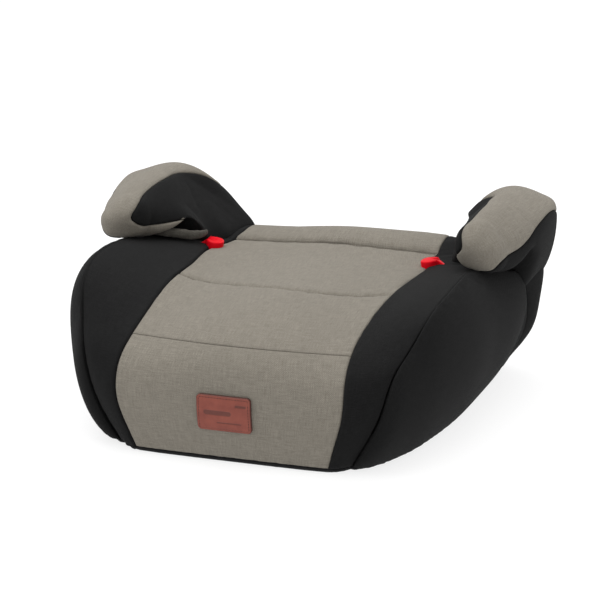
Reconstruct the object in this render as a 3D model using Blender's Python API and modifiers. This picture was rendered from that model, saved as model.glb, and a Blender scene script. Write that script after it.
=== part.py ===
"""Backless child booster seat: moulded shell on a base tray, foam padding,
sewn fabric cover in panels, and two padded armrests over the lap-belt slots.

All driving dimensions are in millimetres and are turned into metres when a
mesh is made.  +X is the sitter's left, -Y is the front and +Z is up.
"""
import math

import bmesh
import bpy
import numpy as np

MM = 0.001

# ---------------------------------------------------------------- dimensions
CENTRE_Y = 6.02         # moves the seat's middle onto the origin
HEM_Z = 4.0             # lower edge of the cover above the floor
SKIN = 2.5              # fabric panel with its lining
LAYER_GAP = 0.4         # clearance between one layer and the next
SEAM_GAP = 0.2          # each panel stops this far from its seam line
SHELL_WALL = 3.0
SIDE_FOAM = 5.0         # foam over the front, back and sides
DECK_FOAM = 13.0        # foam over the deck and the bolsters
ARM_FOAM = 5.0
ARM_CLEARANCE = 2.0     # looser fit of the core in its foam
TRAY_THICKNESS = 3.4
TRAY_INSET = 6.0
BOSS_RADIUS = 5.5
SCREW_RADIUS = 2.0
SCREW_HEAD_RADIUS = 4.0
SCREW_HEAD_HEIGHT = 1.4
LABEL_SIZE = (53.0, 35.5)
LABEL_CENTRE = (0.0, 54.5)
LABEL_CORNER = 4.0
REACH = (205.0, 195.0, 135.0)   # half width, half depth and height of the body

# Stations of the cover from the front hem, over the deck, to the back hem.
# Each holds five points: the middle, the edge of the centre panel, two points
# across the bolster, and the side seam.
STATIONS = (
    ((0, -188, 4), (96, -186, 4), (104, -183, 4), (110, -178, 4), (114, -172, 4)),
    ((0, -197, 30), (104, -193, 30), (115, -189, 30), (123, -183, 30), (129, -176, 30)),
    ((0, -203, 60), (112, -196, 60), (125, -191, 60), (135, -184, 60), (143, -176, 60)),
    ((0, -200, 92), (112, -187, 90), (128, -183, 91), (142, -178, 92), (152, -170, 93)),
    ((0, -180, 114), (109, -158, 109), (130, -158, 110), (147, -155, 112), (161, -146, 115)),
    ((0, -130, 130), (108, -112, 122), (130, -114, 127), (152, -117, 132), (170, -115, 138)),
    ((0, -58, 136), (110, -48, 131), (135, -48, 138), (158, -50, 146), (178, -52, 152)),
    ((0, 15, 131), (112, 15, 130), (137, 14, 138), (160, 10, 145), (180, 8, 149)),
    ((0, 80, 128), (115, 80, 128), (140, 78, 132), (168, 74, 134), (195, 66, 134)),
    ((0, 128, 129), (105, 125, 126), (150, 125, 127), (193, 118, 128), (203, 92, 126)),
    ((0, 172, 131), (99, 170, 127), (155, 167, 126), (216, 146, 125), (206, 109, 109)),
    ((0, 190, 110), (99, 189, 104), (160, 187, 100), (213, 155, 92), (206, 124, 85)),
    ((0, 190, 60), (98, 189, 56), (156, 186, 52), (201, 165, 46), (199, 140, 48)),
    ((0, 186, 4), (97, 185, 4), (142, 183, 4), (168, 172, 4), (176, 150, 4)),
)
ACROSS = (0.0, 1.0, 1.33, 1.67, 2.0)

# Lower edge of each side panel at the same stations, and how far it bulges.
SIDE_HEM = (
    (114, -172), (119, -166), (127, -152), (136, -133), (145, -113), (153, -90), (163, -40),
    (168, 10), (169, 62), (170, 90), (170, 112), (171, 128), (173, 141), (176, 150),
)
SIDE_BULGE = (0, 3, 8, 15, 21, 26, 31, 32, 27, 20, 14, 8, 3, 0)

# Every layer is sampled on these lines, so that the layers nest exactly.
LINES = tuple(k / 2.0 for k in range(27))
CENTRE_LINES = (-1.0, -0.75, -0.5, -0.25, 0.0, 0.25, 0.5, 0.75, 1.0)
BOLSTER_LINES = (1.0, 1.33, 1.67, 2.0)
SIDE_LINES = (2.0, 2.1, 2.3, 2.55, 2.8, 3.0)

# Seams across the centre panel, as stations, and the bow of the middle one.
FRONT_SEAM = 4.0
MIDDLE_SEAM = 6.0
MIDDLE_SEAM_BOW = 0.35
REAR_SEAM = 9.0

# Armrest sections from the tip to the back: y, then eight (x, z) points going
# round from the inner lower corner over the top to the underside.
ARM_SECTIONS = (
    (30, ((167, 156), (161, 171), (168, 188), (187, 196.5), (203, 187), (214, 168), (208, 154), (188, 151))),
    (60, ((147, 155), (152, 169), (167, 190), (187, 199), (208, 188), (223, 170), (215, 155), (182, 154.5))),
    (82, ((131, 153), (146, 168), (167, 192), (188, 199.5), (212, 188), (228, 170), (217, 152), (174, 152))),
    (94, ((125, 127), (144, 164), (167, 193), (189, 200), (214, 188), (230, 170), (217, 132), (170, 104))),
    (116, ((118, 121), (143, 162), (167, 192), (190, 200), (218, 188), (232, 171), (221, 125), (165, 95))),
    (138, ((112, 117), (138, 158), (166, 189), (190, 197), (219, 187), (232, 170), (222, 121), (160, 93))),
    (156, ((107, 114), (129, 150), (156, 183), (185, 193), (212, 184), (227, 164), (217, 116), (155, 92))),
    (172, ((103, 110), (119, 140), (143, 167), (172, 179), (198, 170), (210, 150), (201, 112), (150, 92))),
)
ARM_LINES = (30, 46, 62, 74, 82, 88, 94, 108, 124, 140, 152, 163, 172)
ARM_NOSE = 30.0         # length of the rounded tip in front of the first section
ARM_HEEL = 14.0         # length of the rounded end behind the last one
ARM_HEEL_CENTRE = (148.0, 98.0)

# Seam lines of the armrest's side panels seen from the side, as (y, z).
INNER_PANEL = (
    (24, 148), (20, 157), (9, 163), (5, 170), (7, 178), (21, 186.5), (40, 189.5), (60, 190.5),
    (93, 191.5), (116, 190), (138, 186), (156, 178), (172, 164), (183, 146), (210, 140), (210, 60),
    (60, 60), (34, 140),
)
OUTER_PANEL = (
    (13, 140), (13, 157), (31, 161), (48, 163), (60, 167), (76, 173), (97, 179), (120, 181),
    (140, 178), (158, 170), (174, 157), (190, 140), (210, 136), (210, 60), (60, 60), (34, 140),
)
ARM_SPLIT_X = 190.0     # the inner and outer panels meet here under the arm
FOOT_X = (136.0, 168.0)
FOOT_Y = (107.0, 147.0)
# Screws through the tray into the shell's posts: x, y and the top of the post.
BASE_SCREWS = ((75.0, -90.0, 109.6), (-75.0, -90.0, 109.6), (75.0, 120.0, 110.5), (-75.0, 120.0, 110.5))

# Lap-belt guide: outline of its hook from above, tilt and height.
GUIDE_OUTLINE = (
    (104, 89), (104.5, 79), (109, 71.5), (117, 68.5), (125, 70.5), (130, 76), (138, 77), (144, 79),
    (144, 84), (134, 86), (127, 88), (122, 92), (116, 97), (108, 96),
)
GUIDE_PIVOT = (115.0, 90.0, 130.6)
GUIDE_THICKNESS = 5.0
GUIDE_TILT = math.radians(-7.5)
GUIDE_SCREW = (134.0, 81.5)

# ----------------------------------------------------------------- materials
MATERIALS = {
    "grey_fabric": ((0.33, 0.30, 0.26), 0.95, 0.0),
    "black_fabric": ((0.018, 0.018, 0.019), 0.92, 0.0),
    "foam": ((0.62, 0.60, 0.55), 1.0, 0.0),
    "core_foam": ((0.80, 0.80, 0.78), 0.9, 0.0),
    "shell_plastic": ((0.030, 0.030, 0.032), 0.55, 0.0),
    "red_plastic": ((0.85, 0.012, 0.022), 0.35, 0.0),
    "leather": ((0.30, 0.085, 0.055), 0.60, 0.0),
    "elastic": ((0.022, 0.022, 0.023), 0.90, 0.0),
    "steel": ((0.56, 0.56, 0.57), 0.30, 1.0),
}


# ---------------------------------------------------------------- geometry
def spline(knots, values, at):
    """Natural cubic spline through the values, sampled at the given places."""
    t = np.asarray(knots, float)
    p = np.asarray(values, float)
    u = np.clip(np.atleast_1d(np.asarray(at, float)), t[0], t[-1])
    n = len(t)
    h = np.diff(t)
    matrix = np.zeros((n, n))
    right = np.zeros_like(p)
    matrix[0, 0] = 1.0
    matrix[-1, -1] = 1.0
    for i in range(1, n - 1):
        matrix[i, i - 1:i + 2] = (h[i - 1], 2.0 * (h[i - 1] + h[i]), h[i])
        right[i] = 6.0 * ((p[i + 1] - p[i]) / h[i] - (p[i] - p[i - 1]) / h[i - 1])
    bend = np.linalg.solve(matrix, right.reshape(n, -1)).reshape(p.shape)
    i = np.clip(np.searchsorted(t, u) - 1, 0, n - 2)
    shape = (-1,) + (1,) * (p.ndim - 1)
    step = h[i].reshape(shape)
    a = ((t[i + 1] - u) / h[i]).reshape(shape)
    b = 1.0 - a
    curve = (a ** 3 - a) * bend[i] + (b ** 3 - b) * bend[i + 1]
    return a * p[i] + b * p[i + 1] + curve * step * step / 6.0


def chord(points):
    """Distance along a row of points, from 0."""
    steps = np.linalg.norm(np.diff(np.asarray(points, float), axis=0), axis=1)
    return np.concatenate([[0.0], np.cumsum(steps)])


HALF = np.array(STATIONS, float)
FULL = np.concatenate([HALF[:, :0:-1] * (-1, 1, 1), HALF], axis=1)
FULL_ACROSS = np.array([-a for a in ACROSS[:0:-1]] + list(ACROSS))
ALONG = chord(HALF[:, 1])
HEM = np.array([(x, y, HEM_Z) for x, y in SIDE_HEM])


def along(station):
    """Turns a station number, which may be a fraction, into length along."""
    return float(np.interp(station, np.arange(len(ALONG)), ALONG))


def band_point(a, v):
    """Point of the band that runs front to back: a across, v along."""
    row = spline(ALONG, FULL, [v])[0]
    return spline(FULL_ACROSS, row, [a])[0]


def side_point(w, v):
    """Point of the +X side panel, from its seam (w = 0) to its hem (w = 1)."""
    seam = spline(ALONG, HALF[:, -1], [v])[0]
    hem = spline(ALONG, HEM, [v])[0]
    ahead = spline(ALONG, HEM, [v + 2.0])[0] - spline(ALONG, HEM, [v - 2.0])[0]
    out = np.array([ahead[1], -ahead[0], 0.0])
    out = out / np.linalg.norm(out)
    bulge = max(0.0, float(spline(ALONG, np.array(SIDE_BULGE, float), [v])[0]))
    return seam * (1.0 - w) + hem * w + out * bulge * math.sin(math.pi * w) ** 0.6


def cover_point(a, v):
    """Point of the whole cover: |a| up to 2 is the band, 2 to 3 a side."""
    if abs(a) <= 2.0:
        return band_point(a, v)
    point = side_point(abs(a) - 2.0, v)
    return point * (math.copysign(1.0, a), 1.0, 1.0)


def cover_grid(across, stations):
    return np.array([[cover_point(a, along(s)) for a in across] for s in stations])


def sink(points, depth):
    """Moves cover points inwards, so that the layers nest inside each other."""
    depth = np.asarray(depth, float)[..., None]
    base = np.array((0.0, 0.0, HEM_Z))
    return base + (points - base) * (1.0 - depth / np.array(REACH))


def foam_depth(points):
    """Foam thickness: thin on the upright faces, thick on the deck."""
    rise = np.clip((points[..., 2] - 95.0) / 25.0, 0.0, 1.0)
    return SIDE_FOAM + (DECK_FOAM - SIDE_FOAM) * rise * rise * (3.0 - 2.0 * rise)


def draw_in(grid, gap, edges="nsew"):
    """Pulls the chosen edges of a grid of points inwards by the gap."""
    out = grid.copy()
    pairs = {"s": (0, 1), "n": (-1, -2)}
    for key, (edge, inner) in pairs.items():
        if key in edges:
            step = out[inner] - out[edge]
            length = np.maximum(np.linalg.norm(step, axis=-1, keepdims=True), 1e-6)
            out[edge] = out[edge] + step * np.minimum(gap / length, 0.45)
    pairs = {"w": (0, 1), "e": (-1, -2)}
    for key, (edge, inner) in pairs.items():
        if key in edges:
            step = out[:, inner] - out[:, edge]
            length = np.maximum(np.linalg.norm(step, axis=-1, keepdims=True), 1e-6)
            out[:, edge] = out[:, edge] + step * np.minimum(gap / length, 0.45)
    return out


def arm_rings(depth, around=15, nose_rings=4):
    """Closed rings of points of the +X armrest, sunk inwards by the depth."""
    stations = np.array([y for y, _ in ARM_SECTIONS], float)
    closed = []
    for _, section in ARM_SECTIONS:
        points = np.array(section, float)
        count = len(points)
        wrapped = np.concatenate([points[-3:], points, points[:4]])
        places = np.linspace(0, count, around, endpoint=False)
        closed.append(spline(np.arange(-3, count + 4), wrapped, places))
    closed = np.array(closed)
    length = chord(np.stack([stations, closed[:, :, 1].max(axis=1)], axis=1))
    where = np.interp(ARM_LINES, stations, length)
    rings = []
    for y, ring in zip(spline(length, stations, where), spline(length, closed, where)):
        middle = (ring.max(axis=0) + ring.min(axis=0)) / 2.0
        half = (ring.max(axis=0) - ring.min(axis=0)) / 2.0
        half[0] = min(half[0], 1.25 * half[1])
        ring = middle + (ring - middle) * (1.0 - depth / half)
        rings.append(np.insert(ring, 1, y, axis=1))
    tip = (rings[0].max(axis=0) + rings[0].min(axis=0)) / 2.0
    nose = []
    for k in range(nose_rings):
        turn = math.radians(4.0 + 86.0 * k / nose_rings)
        ring = tip + (rings[0] - tip) * math.sin(turn)
        ring[:, 1] = stations[0] - (ARM_NOSE - depth) * math.cos(turn)
        nose.append(ring)
    heel_middle = np.array((ARM_HEEL_CENTRE[0], stations[-1], ARM_HEEL_CENTRE[1]))
    heel = []
    for k in range(3):
        turn = math.radians(28.0 * (k + 1))
        ring = heel_middle + (rings[-1] - heel_middle) * math.cos(turn)
        ring[:, 1] = stations[-1] + (ARM_HEEL - depth) * math.sin(turn)
        heel.append(ring)
    return np.array(nose + rings + heel)


# ----------------------------------------------------------------- building
def clear_scene():
    for obj in list(bpy.data.objects):
        bpy.data.objects.remove(obj, do_unlink=True)


def make_collection(name):
    collection = bpy.data.collections.new(name)
    bpy.context.scene.collection.children.link(collection)
    return collection


def make_material(name):
    colour, roughness, metallic = MATERIALS[name]
    material = bpy.data.materials.get(name) or bpy.data.materials.new(name)
    material.use_nodes = True
    shader = material.node_tree.nodes["Principled BSDF"]
    shader.inputs["Base Color"].default_value = (*colour, 1.0)
    shader.inputs["Roughness"].default_value = roughness
    shader.inputs["Metallic"].default_value = metallic
    material.diffuse_color = (*colour, 1.0)
    return material


def to_world(point):
    return (point[0] * MM, (point[1] + CENTRE_Y) * MM, point[2] * MM)


def add_object(name, bm, material=None, collection=None, recalculate=True):
    bmesh.ops.remove_doubles(bm, verts=bm.verts[:], dist=0.00001)
    if recalculate:
        bmesh.ops.recalc_face_normals(bm, faces=bm.faces[:])
    bmesh.ops.triangulate(bm, faces=bm.faces[:], quad_method="FIXED")
    mesh = bpy.data.meshes.new(name)
    bm.to_mesh(mesh)
    bm.free()
    obj = bpy.data.objects.new(name, mesh)
    collection.objects.link(obj)
    if material:
        mesh.materials.append(make_material(material))
    else:
        obj.display_type = "WIRE"
        obj.hide_render = True
    return obj


def slab(name, outer, inner, material=None, collection=None):
    """Closed solid between two grids of points with the same layout."""
    rows, columns = outer.shape[:2]
    bm = bmesh.new()
    bmesh.ops.create_grid(bm, x_segments=columns - 1, y_segments=rows - 1, size=1.0)
    first = {}
    for vert in bm.verts:
        column = round((vert.co.x + 1.0) / 2.0 * (columns - 1))
        row = round((vert.co.y + 1.0) / 2.0 * (rows - 1))
        first[vert] = (row, column)
    made = bmesh.ops.extrude_face_region(bm, geom=bm.faces[:])
    second = {}
    for item in made["geom"]:
        if isinstance(item, bmesh.types.BMVert):
            column = round((item.co.x + 1.0) / 2.0 * (columns - 1))
            row = round((item.co.y + 1.0) / 2.0 * (rows - 1))
            second[item] = (row, column)
    for vert, place in first.items():
        vert.co = to_world(outer[place])
    for vert, place in second.items():
        vert.co = to_world(inner[place])
    return add_object(name, bm, material, collection)


def add_rings(bm, rings):
    """Adds a closed surface through a stack of rings and returns its faces."""
    count, around = rings.shape[:2]
    before = set(bm.faces)
    made = bmesh.ops.create_grid(bm, x_segments=around, y_segments=count - 1, size=1.0)
    for vert in made["verts"]:
        column = round((vert.co.x + 1.0) / 2.0 * around) % around
        row = round((vert.co.y + 1.0) / 2.0 * (count - 1))
        vert.co = to_world(rings[row, column])
    bmesh.ops.remove_doubles(bm, verts=made["verts"], dist=0.00001)
    bmesh.ops.holes_fill(bm, edges=[e for e in bm.edges if e.is_boundary], sides=0)
    faces = [face for face in bm.faces if face not in before]
    bmesh.ops.recalc_face_normals(bm, faces=faces)
    return faces


def loft(name, rings, hollow=None, material=None, collection=None):
    """Closed solid through a stack of rings, or the wall between two stacks."""
    bm = bmesh.new()
    add_rings(bm, rings)
    if hollow is not None:
        bmesh.ops.reverse_faces(bm, faces=add_rings(bm, hollow))
    return add_object(name, bm, material, collection, recalculate=False)


def prism(name, outline, low, high, axis, collection):
    """Cutter: a flat outline carried along X (axis 0) or Z (axis 2)."""
    bm = bmesh.new()
    made = bmesh.ops.create_circle(bm, cap_ends=True, radius=1.0, segments=len(outline))
    for vert, (p, q) in zip(made["verts"], outline):
        vert.co = to_world((low, p, q) if axis == 0 else (p, q, low))
    cap = bmesh.ops.extrude_face_region(bm, geom=bm.faces[:])
    moved = [item for item in cap["geom"] if isinstance(item, bmesh.types.BMVert)]
    shift = (high - low) * MM
    bmesh.ops.translate(bm, verts=moved, vec=(shift, 0, 0) if axis == 0 else (0, 0, shift))
    return add_object(name, bm, None, collection)


def rod(name, x, y, low, high, radius, collection):
    """Cutter: an upright cylinder."""
    bm = bmesh.new()
    bmesh.ops.create_cone(bm, cap_ends=True, segments=16, radius1=radius * MM, radius2=radius * MM,
                          depth=(high - low) * MM)
    bmesh.ops.translate(bm, verts=bm.verts[:], vec=to_world((x, y, (low + high) / 2.0)))
    return add_object(name, bm, None, collection)


def combine(obj, operation, tool):
    modifier = obj.modifiers.new(operation.lower(), "BOOLEAN")
    modifier.operation = operation
    modifier.solver = "EXACT"
    modifier.object = tool


def screw(name, x, y, z, length, up, collection):
    """Pan-head screw turned about its axis; the head lies at z."""
    profile = ((0, 0), (SCREW_HEAD_RADIUS, 0), (SCREW_HEAD_RADIUS, 0.8), (3.2, SCREW_HEAD_HEIGHT),
               (SCREW_RADIUS, SCREW_HEAD_HEIGHT), (SCREW_RADIUS, length - 2.0), (0, length))
    bm = bmesh.new()
    verts = [bm.verts.new((r * MM, 0.0, h * MM)) for r, h in profile]
    for one, two in zip(verts, verts[1:]):
        bm.edges.new((one, two))
    mesh = bpy.data.meshes.new(name)
    bm.to_mesh(mesh)
    bm.free()
    mesh.materials.append(make_material("steel"))
    obj = bpy.data.objects.new(name, mesh)
    collection.objects.link(obj)
    obj.location = to_world((x, y, z))
    obj.rotation_euler = (0.0 if up else math.pi, 0.0, 0.0)
    turn = obj.modifiers.new("turn", "SCREW")
    turn.angle = 2.0 * math.pi
    turn.axis = "Z"
    turn.steps = 12
    turn.render_steps = 12
    turn.use_merge_vertices = True
    turn.merge_threshold = 0.00001
    turn.use_normal_calculate = True
    return obj


def mirrored(points, sign):
    """The same grid on the other side, with its columns still going to +X."""
    return points if sign > 0 else (points * np.array((-1.0, 1.0, 1.0)))[:, ::-1]


# ------------------------------------------------------------------ the part
def middle_seam(a):
    """Station of the seam that bows forward in the middle of the seat."""
    return MIDDLE_SEAM + MIDDLE_SEAM_BOW * a * a


def centre_panel(first, last, edges):
    """Grid of the centre panel between two seams given as functions of a."""
    inside = [s for s in LINES if first(1.0) < s < last(1.0)]
    grid = [[cover_point(a, along(first(a))) for a in CENTRE_LINES]]
    for line in inside:
        grid.append([cover_point(a, along(min(line, last(a) - 0.08))) for a in CENTRE_LINES])
    grid.append([cover_point(a, along(last(a))) for a in CENTRE_LINES])
    return draw_in(np.array(grid), SEAM_GAP, edges)


def build_cover(parts):
    def at(station):
        return lambda a: station

    panels = (
        ("cover_front", at(0.0), at(FRONT_SEAM), "new"),
        ("cover_thigh", at(FRONT_SEAM), middle_seam, "nsew"),
        ("cover_seat", middle_seam, at(REAR_SEAM), "nsew"),
        ("cover_rear", at(REAR_SEAM), at(LINES[-1]), "sew"),
    )
    for name, first, last, edges in panels:
        grid = centre_panel(first, last, edges)
        slab(name, grid, sink(grid, SKIN), "grey_fabric", parts)

    strip = draw_in(cover_grid(BOLSTER_LINES, LINES), SEAM_GAP, "ew")
    gusset = draw_in(cover_grid(SIDE_LINES, LINES[1:-1]), SEAM_GAP, "w")
    cover = {}
    for side, sign in (("left", 1.0), ("right", -1.0)):
        grid = mirrored(strip, sign)
        cover[side] = slab("cover_strip_" + side, grid, sink(grid, SKIN), "black_fabric", parts)
        grid = mirrored(gusset, sign)
        slab("cover_gusset_" + side, grid, sink(grid, SKIN), "black_fabric", parts)
    return cover


def build_foam(parts):
    top = SKIN + LAYER_GAP
    grid = draw_in(cover_grid(CENTRE_LINES, LINES), SEAM_GAP, "ew")
    slab("seat_foam", sink(grid, top), sink(grid, top + foam_depth(grid)), "foam", parts)
    grid = draw_in(cover_grid(BOLSTER_LINES + SIDE_LINES[1:], LINES), SEAM_GAP, "w")
    foam = {}
    for side, sign in (("left", 1.0), ("right", -1.0)):
        half = mirrored(grid, sign)
        foam[side] = slab("side_foam_" + side, sink(half, top), sink(half, top + foam_depth(half)),
                          "foam", parts)
    return foam


def build_shell(parts, cutters):
    half = BOLSTER_LINES + SIDE_LINES[1:]
    across = tuple(-a for a in reversed(half)) + CENTRE_LINES[1:-1] + half
    grid = cover_grid(across, LINES)
    depth = SKIN + 2.0 * LAYER_GAP + foam_depth(grid)
    shell = slab("seat_shell", sink(grid, depth), sink(grid, depth + SHELL_WALL), "shell_plastic", parts)
    for number, (x, y, top) in enumerate(BASE_SCREWS, 1):
        boss = rod("boss_%d" % number, x, y, TRAY_THICKNESS + 0.4, top, BOSS_RADIUS, cutters)
        combine(shell, "UNION", boss)
    for number, (x, y, _) in enumerate(BASE_SCREWS, 1):
        hole = rod("boss_hole_%d" % number, x, y, 0.0, 22.0, SCREW_RADIUS + 0.3, cutters)
        combine(shell, "DIFFERENCE", hole)
    return shell


def hem_outline(depth, per_side):
    """Loop of (x, y) points round the hem, sunk inwards by the depth."""
    front = [band_point(a, 0.0) for a in np.linspace(-2.0, 2.0, 13)]
    left = [side_point(1.0, v) for v in np.linspace(0.0, ALONG[-1], per_side)[1:]]
    back = [band_point(a, ALONG[-1]) for a in np.linspace(2.0, -2.0, 13)[1:]]
    right = [p * (-1, 1, 1) for p in reversed(left[:-1])]
    loop = np.array(front + left + back + right)
    return [(p[0], p[1]) for p in sink(loop, np.full(len(loop), depth))]


def build_base(parts, cutters):
    outline = hem_outline(TRAY_INSET, 15)
    bm = bmesh.new()
    made = bmesh.ops.create_circle(bm, cap_ends=True, radius=1.0, segments=len(outline))
    for vert, (x, y) in zip(made["verts"], outline):
        vert.co = to_world((x, y, 0.0))
    cap = bmesh.ops.extrude_face_region(bm, geom=bm.faces[:])
    moved = [item for item in cap["geom"] if isinstance(item, bmesh.types.BMVert)]
    bmesh.ops.translate(bm, verts=moved, vec=(0, 0, TRAY_THICKNESS * MM))
    tray = add_object("base_tray", bm, "shell_plastic", parts)
    for number, (x, y, _) in enumerate(BASE_SCREWS, 1):
        head = rod("head_recess_%d" % number, x, y, -1.0, SCREW_HEAD_HEIGHT + 0.5, SCREW_HEAD_RADIUS + 0.5,
                   cutters)
        hole = rod("tray_hole_%d" % number, x, y, -1.0, 6.0, SCREW_RADIUS + 0.4, cutters)
        combine(tray, "DIFFERENCE", head)
        combine(tray, "DIFFERENCE", hole)
        screw("base_screw_%d" % number, x, y, 0.2, 18.0, True, parts)


def build_hem(parts):
    """Elastic cord sewn into the lower edge of the cover."""
    points = hem_outline(1.5, 16)
    curve = bpy.data.curves.new("hem_elastic", "CURVE")
    curve.dimensions = "3D"
    path = curve.splines.new("POLY")
    path.points.add(len(points) - 1)
    for point, (x, y) in zip(path.points, points):
        point.co = (*to_world((x, y, 2.1)), 1.0)
    path.use_cyclic_u = True
    curve.bevel_depth = 1.35 * MM
    curve.bevel_resolution = 1
    curve.materials.append(make_material("elastic"))
    obj = bpy.data.objects.new("hem_elastic", curve)
    parts.objects.link(obj)


def build_armrest(side, sign, parts, cutters, strip, foam):
    def rings(depth):
        return mirrored(arm_rings(depth), sign)

    across = (0.75,) + BOLSTER_LINES + SIDE_LINES[1:4]
    grid = mirrored(cover_grid(across, LINES[15:26]), sign)
    cover_block = slab("cover_block_" + side, sink(grid, -LAYER_GAP), sink(grid, 50.0), None, cutters)
    depth = SKIN + 2.0 * LAYER_GAP + foam_depth(grid)
    shell_block = slab("shell_block_" + side, sink(grid, depth - 0.4), sink(grid, 60.0), None, cutters)

    low, high = sorted((sign * ARM_SPLIT_X, sign * 80.0))
    inner_cut = prism("inner_cut_" + side, INNER_PANEL, low, high, 0, cutters)
    low, high = sorted((sign * (ARM_SPLIT_X + LAYER_GAP), sign * 260.0))
    outer_cut = prism("outer_cut_" + side, OUTER_PANEL, low, high, 0, cutters)
    for name, tool in (("armrest_inner_panel_", inner_cut), ("armrest_outer_panel_", outer_cut)):
        panel = loft(name + side, rings(0.0), rings(SKIN), "black_fabric", parts)
        combine(panel, "DIFFERENCE", cover_block)
        combine(panel, "INTERSECT", tool)
    band = loft("armrest_band_" + side, rings(0.0), rings(SKIN), "grey_fabric", parts)
    combine(band, "DIFFERENCE", cover_block)
    for name, outline, reach in (("inner_trim_", INNER_PANEL, 80.0), ("outer_trim_", OUTER_PANEL, 260.0)):
        low, high = sorted((sign * (ARM_SPLIT_X + math.copysign(0.3, 150.0 - reach)), sign * reach))
        trim = prism(name + side, grow(outline, LAYER_GAP), low, high, 0, cutters)
        combine(band, "DIFFERENCE", trim)

    inner = SKIN + LAYER_GAP + ARM_FOAM
    padding = loft("armrest_foam_" + side, rings(SKIN + LAYER_GAP), rings(inner), "foam", parts)
    combine(padding, "DIFFERENCE", cover_block)

    x_low, x_high = sorted((sign * FOOT_X[0], sign * FOOT_X[1]))
    corners = ((x_low, FOOT_Y[0]), (x_high, FOOT_Y[0]), (x_high, FOOT_Y[1]), (x_low, FOOT_Y[1]))
    foot = prism("foot_" + side, corners, -20.0, 170.0, 2, cutters)
    round_foot = slab("foot_block_" + side, sink(grid, -LAYER_GAP), sink(grid, 50.0), None, cutters)
    combine(round_foot, "DIFFERENCE", foot)
    core = loft("armrest_core_" + side, rings(inner + ARM_CLEARANCE), None, "core_foam", parts)
    combine(core, "DIFFERENCE", round_foot)
    combine(core, "DIFFERENCE", shell_block)
    socket = prism("foot_socket_" + side, grow(corners, LAYER_GAP), 80.0, 160.0, 2, cutters)
    combine(strip, "DIFFERENCE", socket)
    combine(foam, "DIFFERENCE", socket)


def build_guide(side, sign, parts, cutters, strip, foam, shell):
    """Red lap-belt guide: a flat hook screwed down at the mouth of the slot."""
    bm = bmesh.new()
    made = bmesh.ops.create_circle(bm, cap_ends=True, radius=1.0, segments=len(GUIDE_OUTLINE))
    for vert, (x, y) in zip(made["verts"], GUIDE_OUTLINE):
        vert.co = (sign * (x - GUIDE_PIVOT[0]) * MM, (y - GUIDE_PIVOT[1]) * MM, 0.0)
    cap = bmesh.ops.extrude_face_region(bm, geom=bm.faces[:])
    moved = [item for item in cap["geom"] if isinstance(item, bmesh.types.BMVert)]
    bmesh.ops.translate(bm, verts=moved, vec=(0, 0, GUIDE_THICKNESS * MM))
    guide = add_object("belt_guide_" + side, bm, "red_plastic", parts)
    guide.location = to_world((sign * GUIDE_PIVOT[0], GUIDE_PIVOT[1], GUIDE_PIVOT[2]))
    guide.rotation_euler = (0.0, sign * GUIDE_TILT, 0.0)
    edge = guide.modifiers.new("edge", "BEVEL")
    edge.width = 0.8 * MM
    edge.segments = 2
    edge.limit_method = "ANGLE"
    edge.angle_limit = math.radians(60.0)
    x, y = sign * GUIDE_SCREW[0], GUIDE_SCREW[1]
    hole = rod("guide_hole_" + side, x, y, 100.0, 150.0, SCREW_RADIUS + 0.35, cutters)
    for obj in (guide, strip, foam, shell):
        combine(obj, "DIFFERENCE", hole)
    screw("guide_screw_" + side, x, y, 140.9, 27.5, False, parts)


def front_point(x, z):
    """Finds the place on the front of the cover that lies at this x and z."""
    a, v = x / 110.0, z
    for _ in range(12):
        point = band_point(a, v)
        a += (x - point[0]) / 110.0
        v += z - point[2]
    return band_point(a, v)


def build_label(parts):
    """Leather patch with rounded corners, lying on the front panel."""
    width, height = LABEL_SIZE[0] / 2.0, LABEL_SIZE[1] / 2.0
    r = LABEL_CORNER
    edge = (0.0, 1.2, r)
    xs = [-width + e for e in edge] + [-14.0, 0.0, 14.0] + [width - e for e in reversed(edge)]
    zs = [-height + e for e in edge] + [0.0] + [height - e for e in reversed(edge)]
    rows = []
    for z in zs:
        row = []
        for x in xs:
            dx, dz = abs(x) - (width - r), abs(z) - (height - r)
            px, pz = x, z
            if dx > 0 and dz > 0:
                reach = max(dx, dz) / math.hypot(dx, dz)
                px = math.copysign(width - r + dx * reach, x)
                pz = math.copysign(height - r + dz * reach, z)
            row.append(front_point(LABEL_CENTRE[0] + px, LABEL_CENTRE[1] + pz))
        rows.append(row)
    grid = np.array(rows)
    slab("label_patch", sink(grid, -1.6), sink(grid, -0.3), "leather", parts)


def grow(outline, gap):
    """Moves an outline's points outwards by the gap."""
    points = np.array(outline, float)
    before = np.roll(points, 1, axis=0)
    after = np.roll(points, -1, axis=0)
    area = np.sum(points[:, 0] * after[:, 1] - after[:, 0] * points[:, 1])
    first = (points - before) / np.linalg.norm(points - before, axis=1, keepdims=True)
    second = (after - points) / np.linalg.norm(after - points, axis=1, keepdims=True)
    bisector = first + second
    bisector /= np.linalg.norm(bisector, axis=1, keepdims=True)
    normal = np.stack([bisector[:, 1], -bisector[:, 0]], axis=1) * math.copysign(1.0, area)
    stretch = np.clip(np.sum(normal * np.stack([first[:, 1], -first[:, 0]], axis=1), axis=1), -1, 1)
    return points + normal * gap / np.maximum(np.abs(stretch), 0.5)[:, None]


def main():
    clear_scene()
    parts = make_collection("booster_seat")
    cutters = make_collection("cutters")
    strips = build_cover(parts)
    foams = build_foam(parts)
    shell = build_shell(parts, cutters)
    build_base(parts, cutters)
    build_hem(parts)
    for side, sign in (("left", 1.0), ("right", -1.0)):
        build_armrest(side, sign, parts, cutters, strips[side], foams[side])
        build_guide(side, sign, parts, cutters, strips[side], foams[side], shell)
    build_label(parts)


main()
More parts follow.
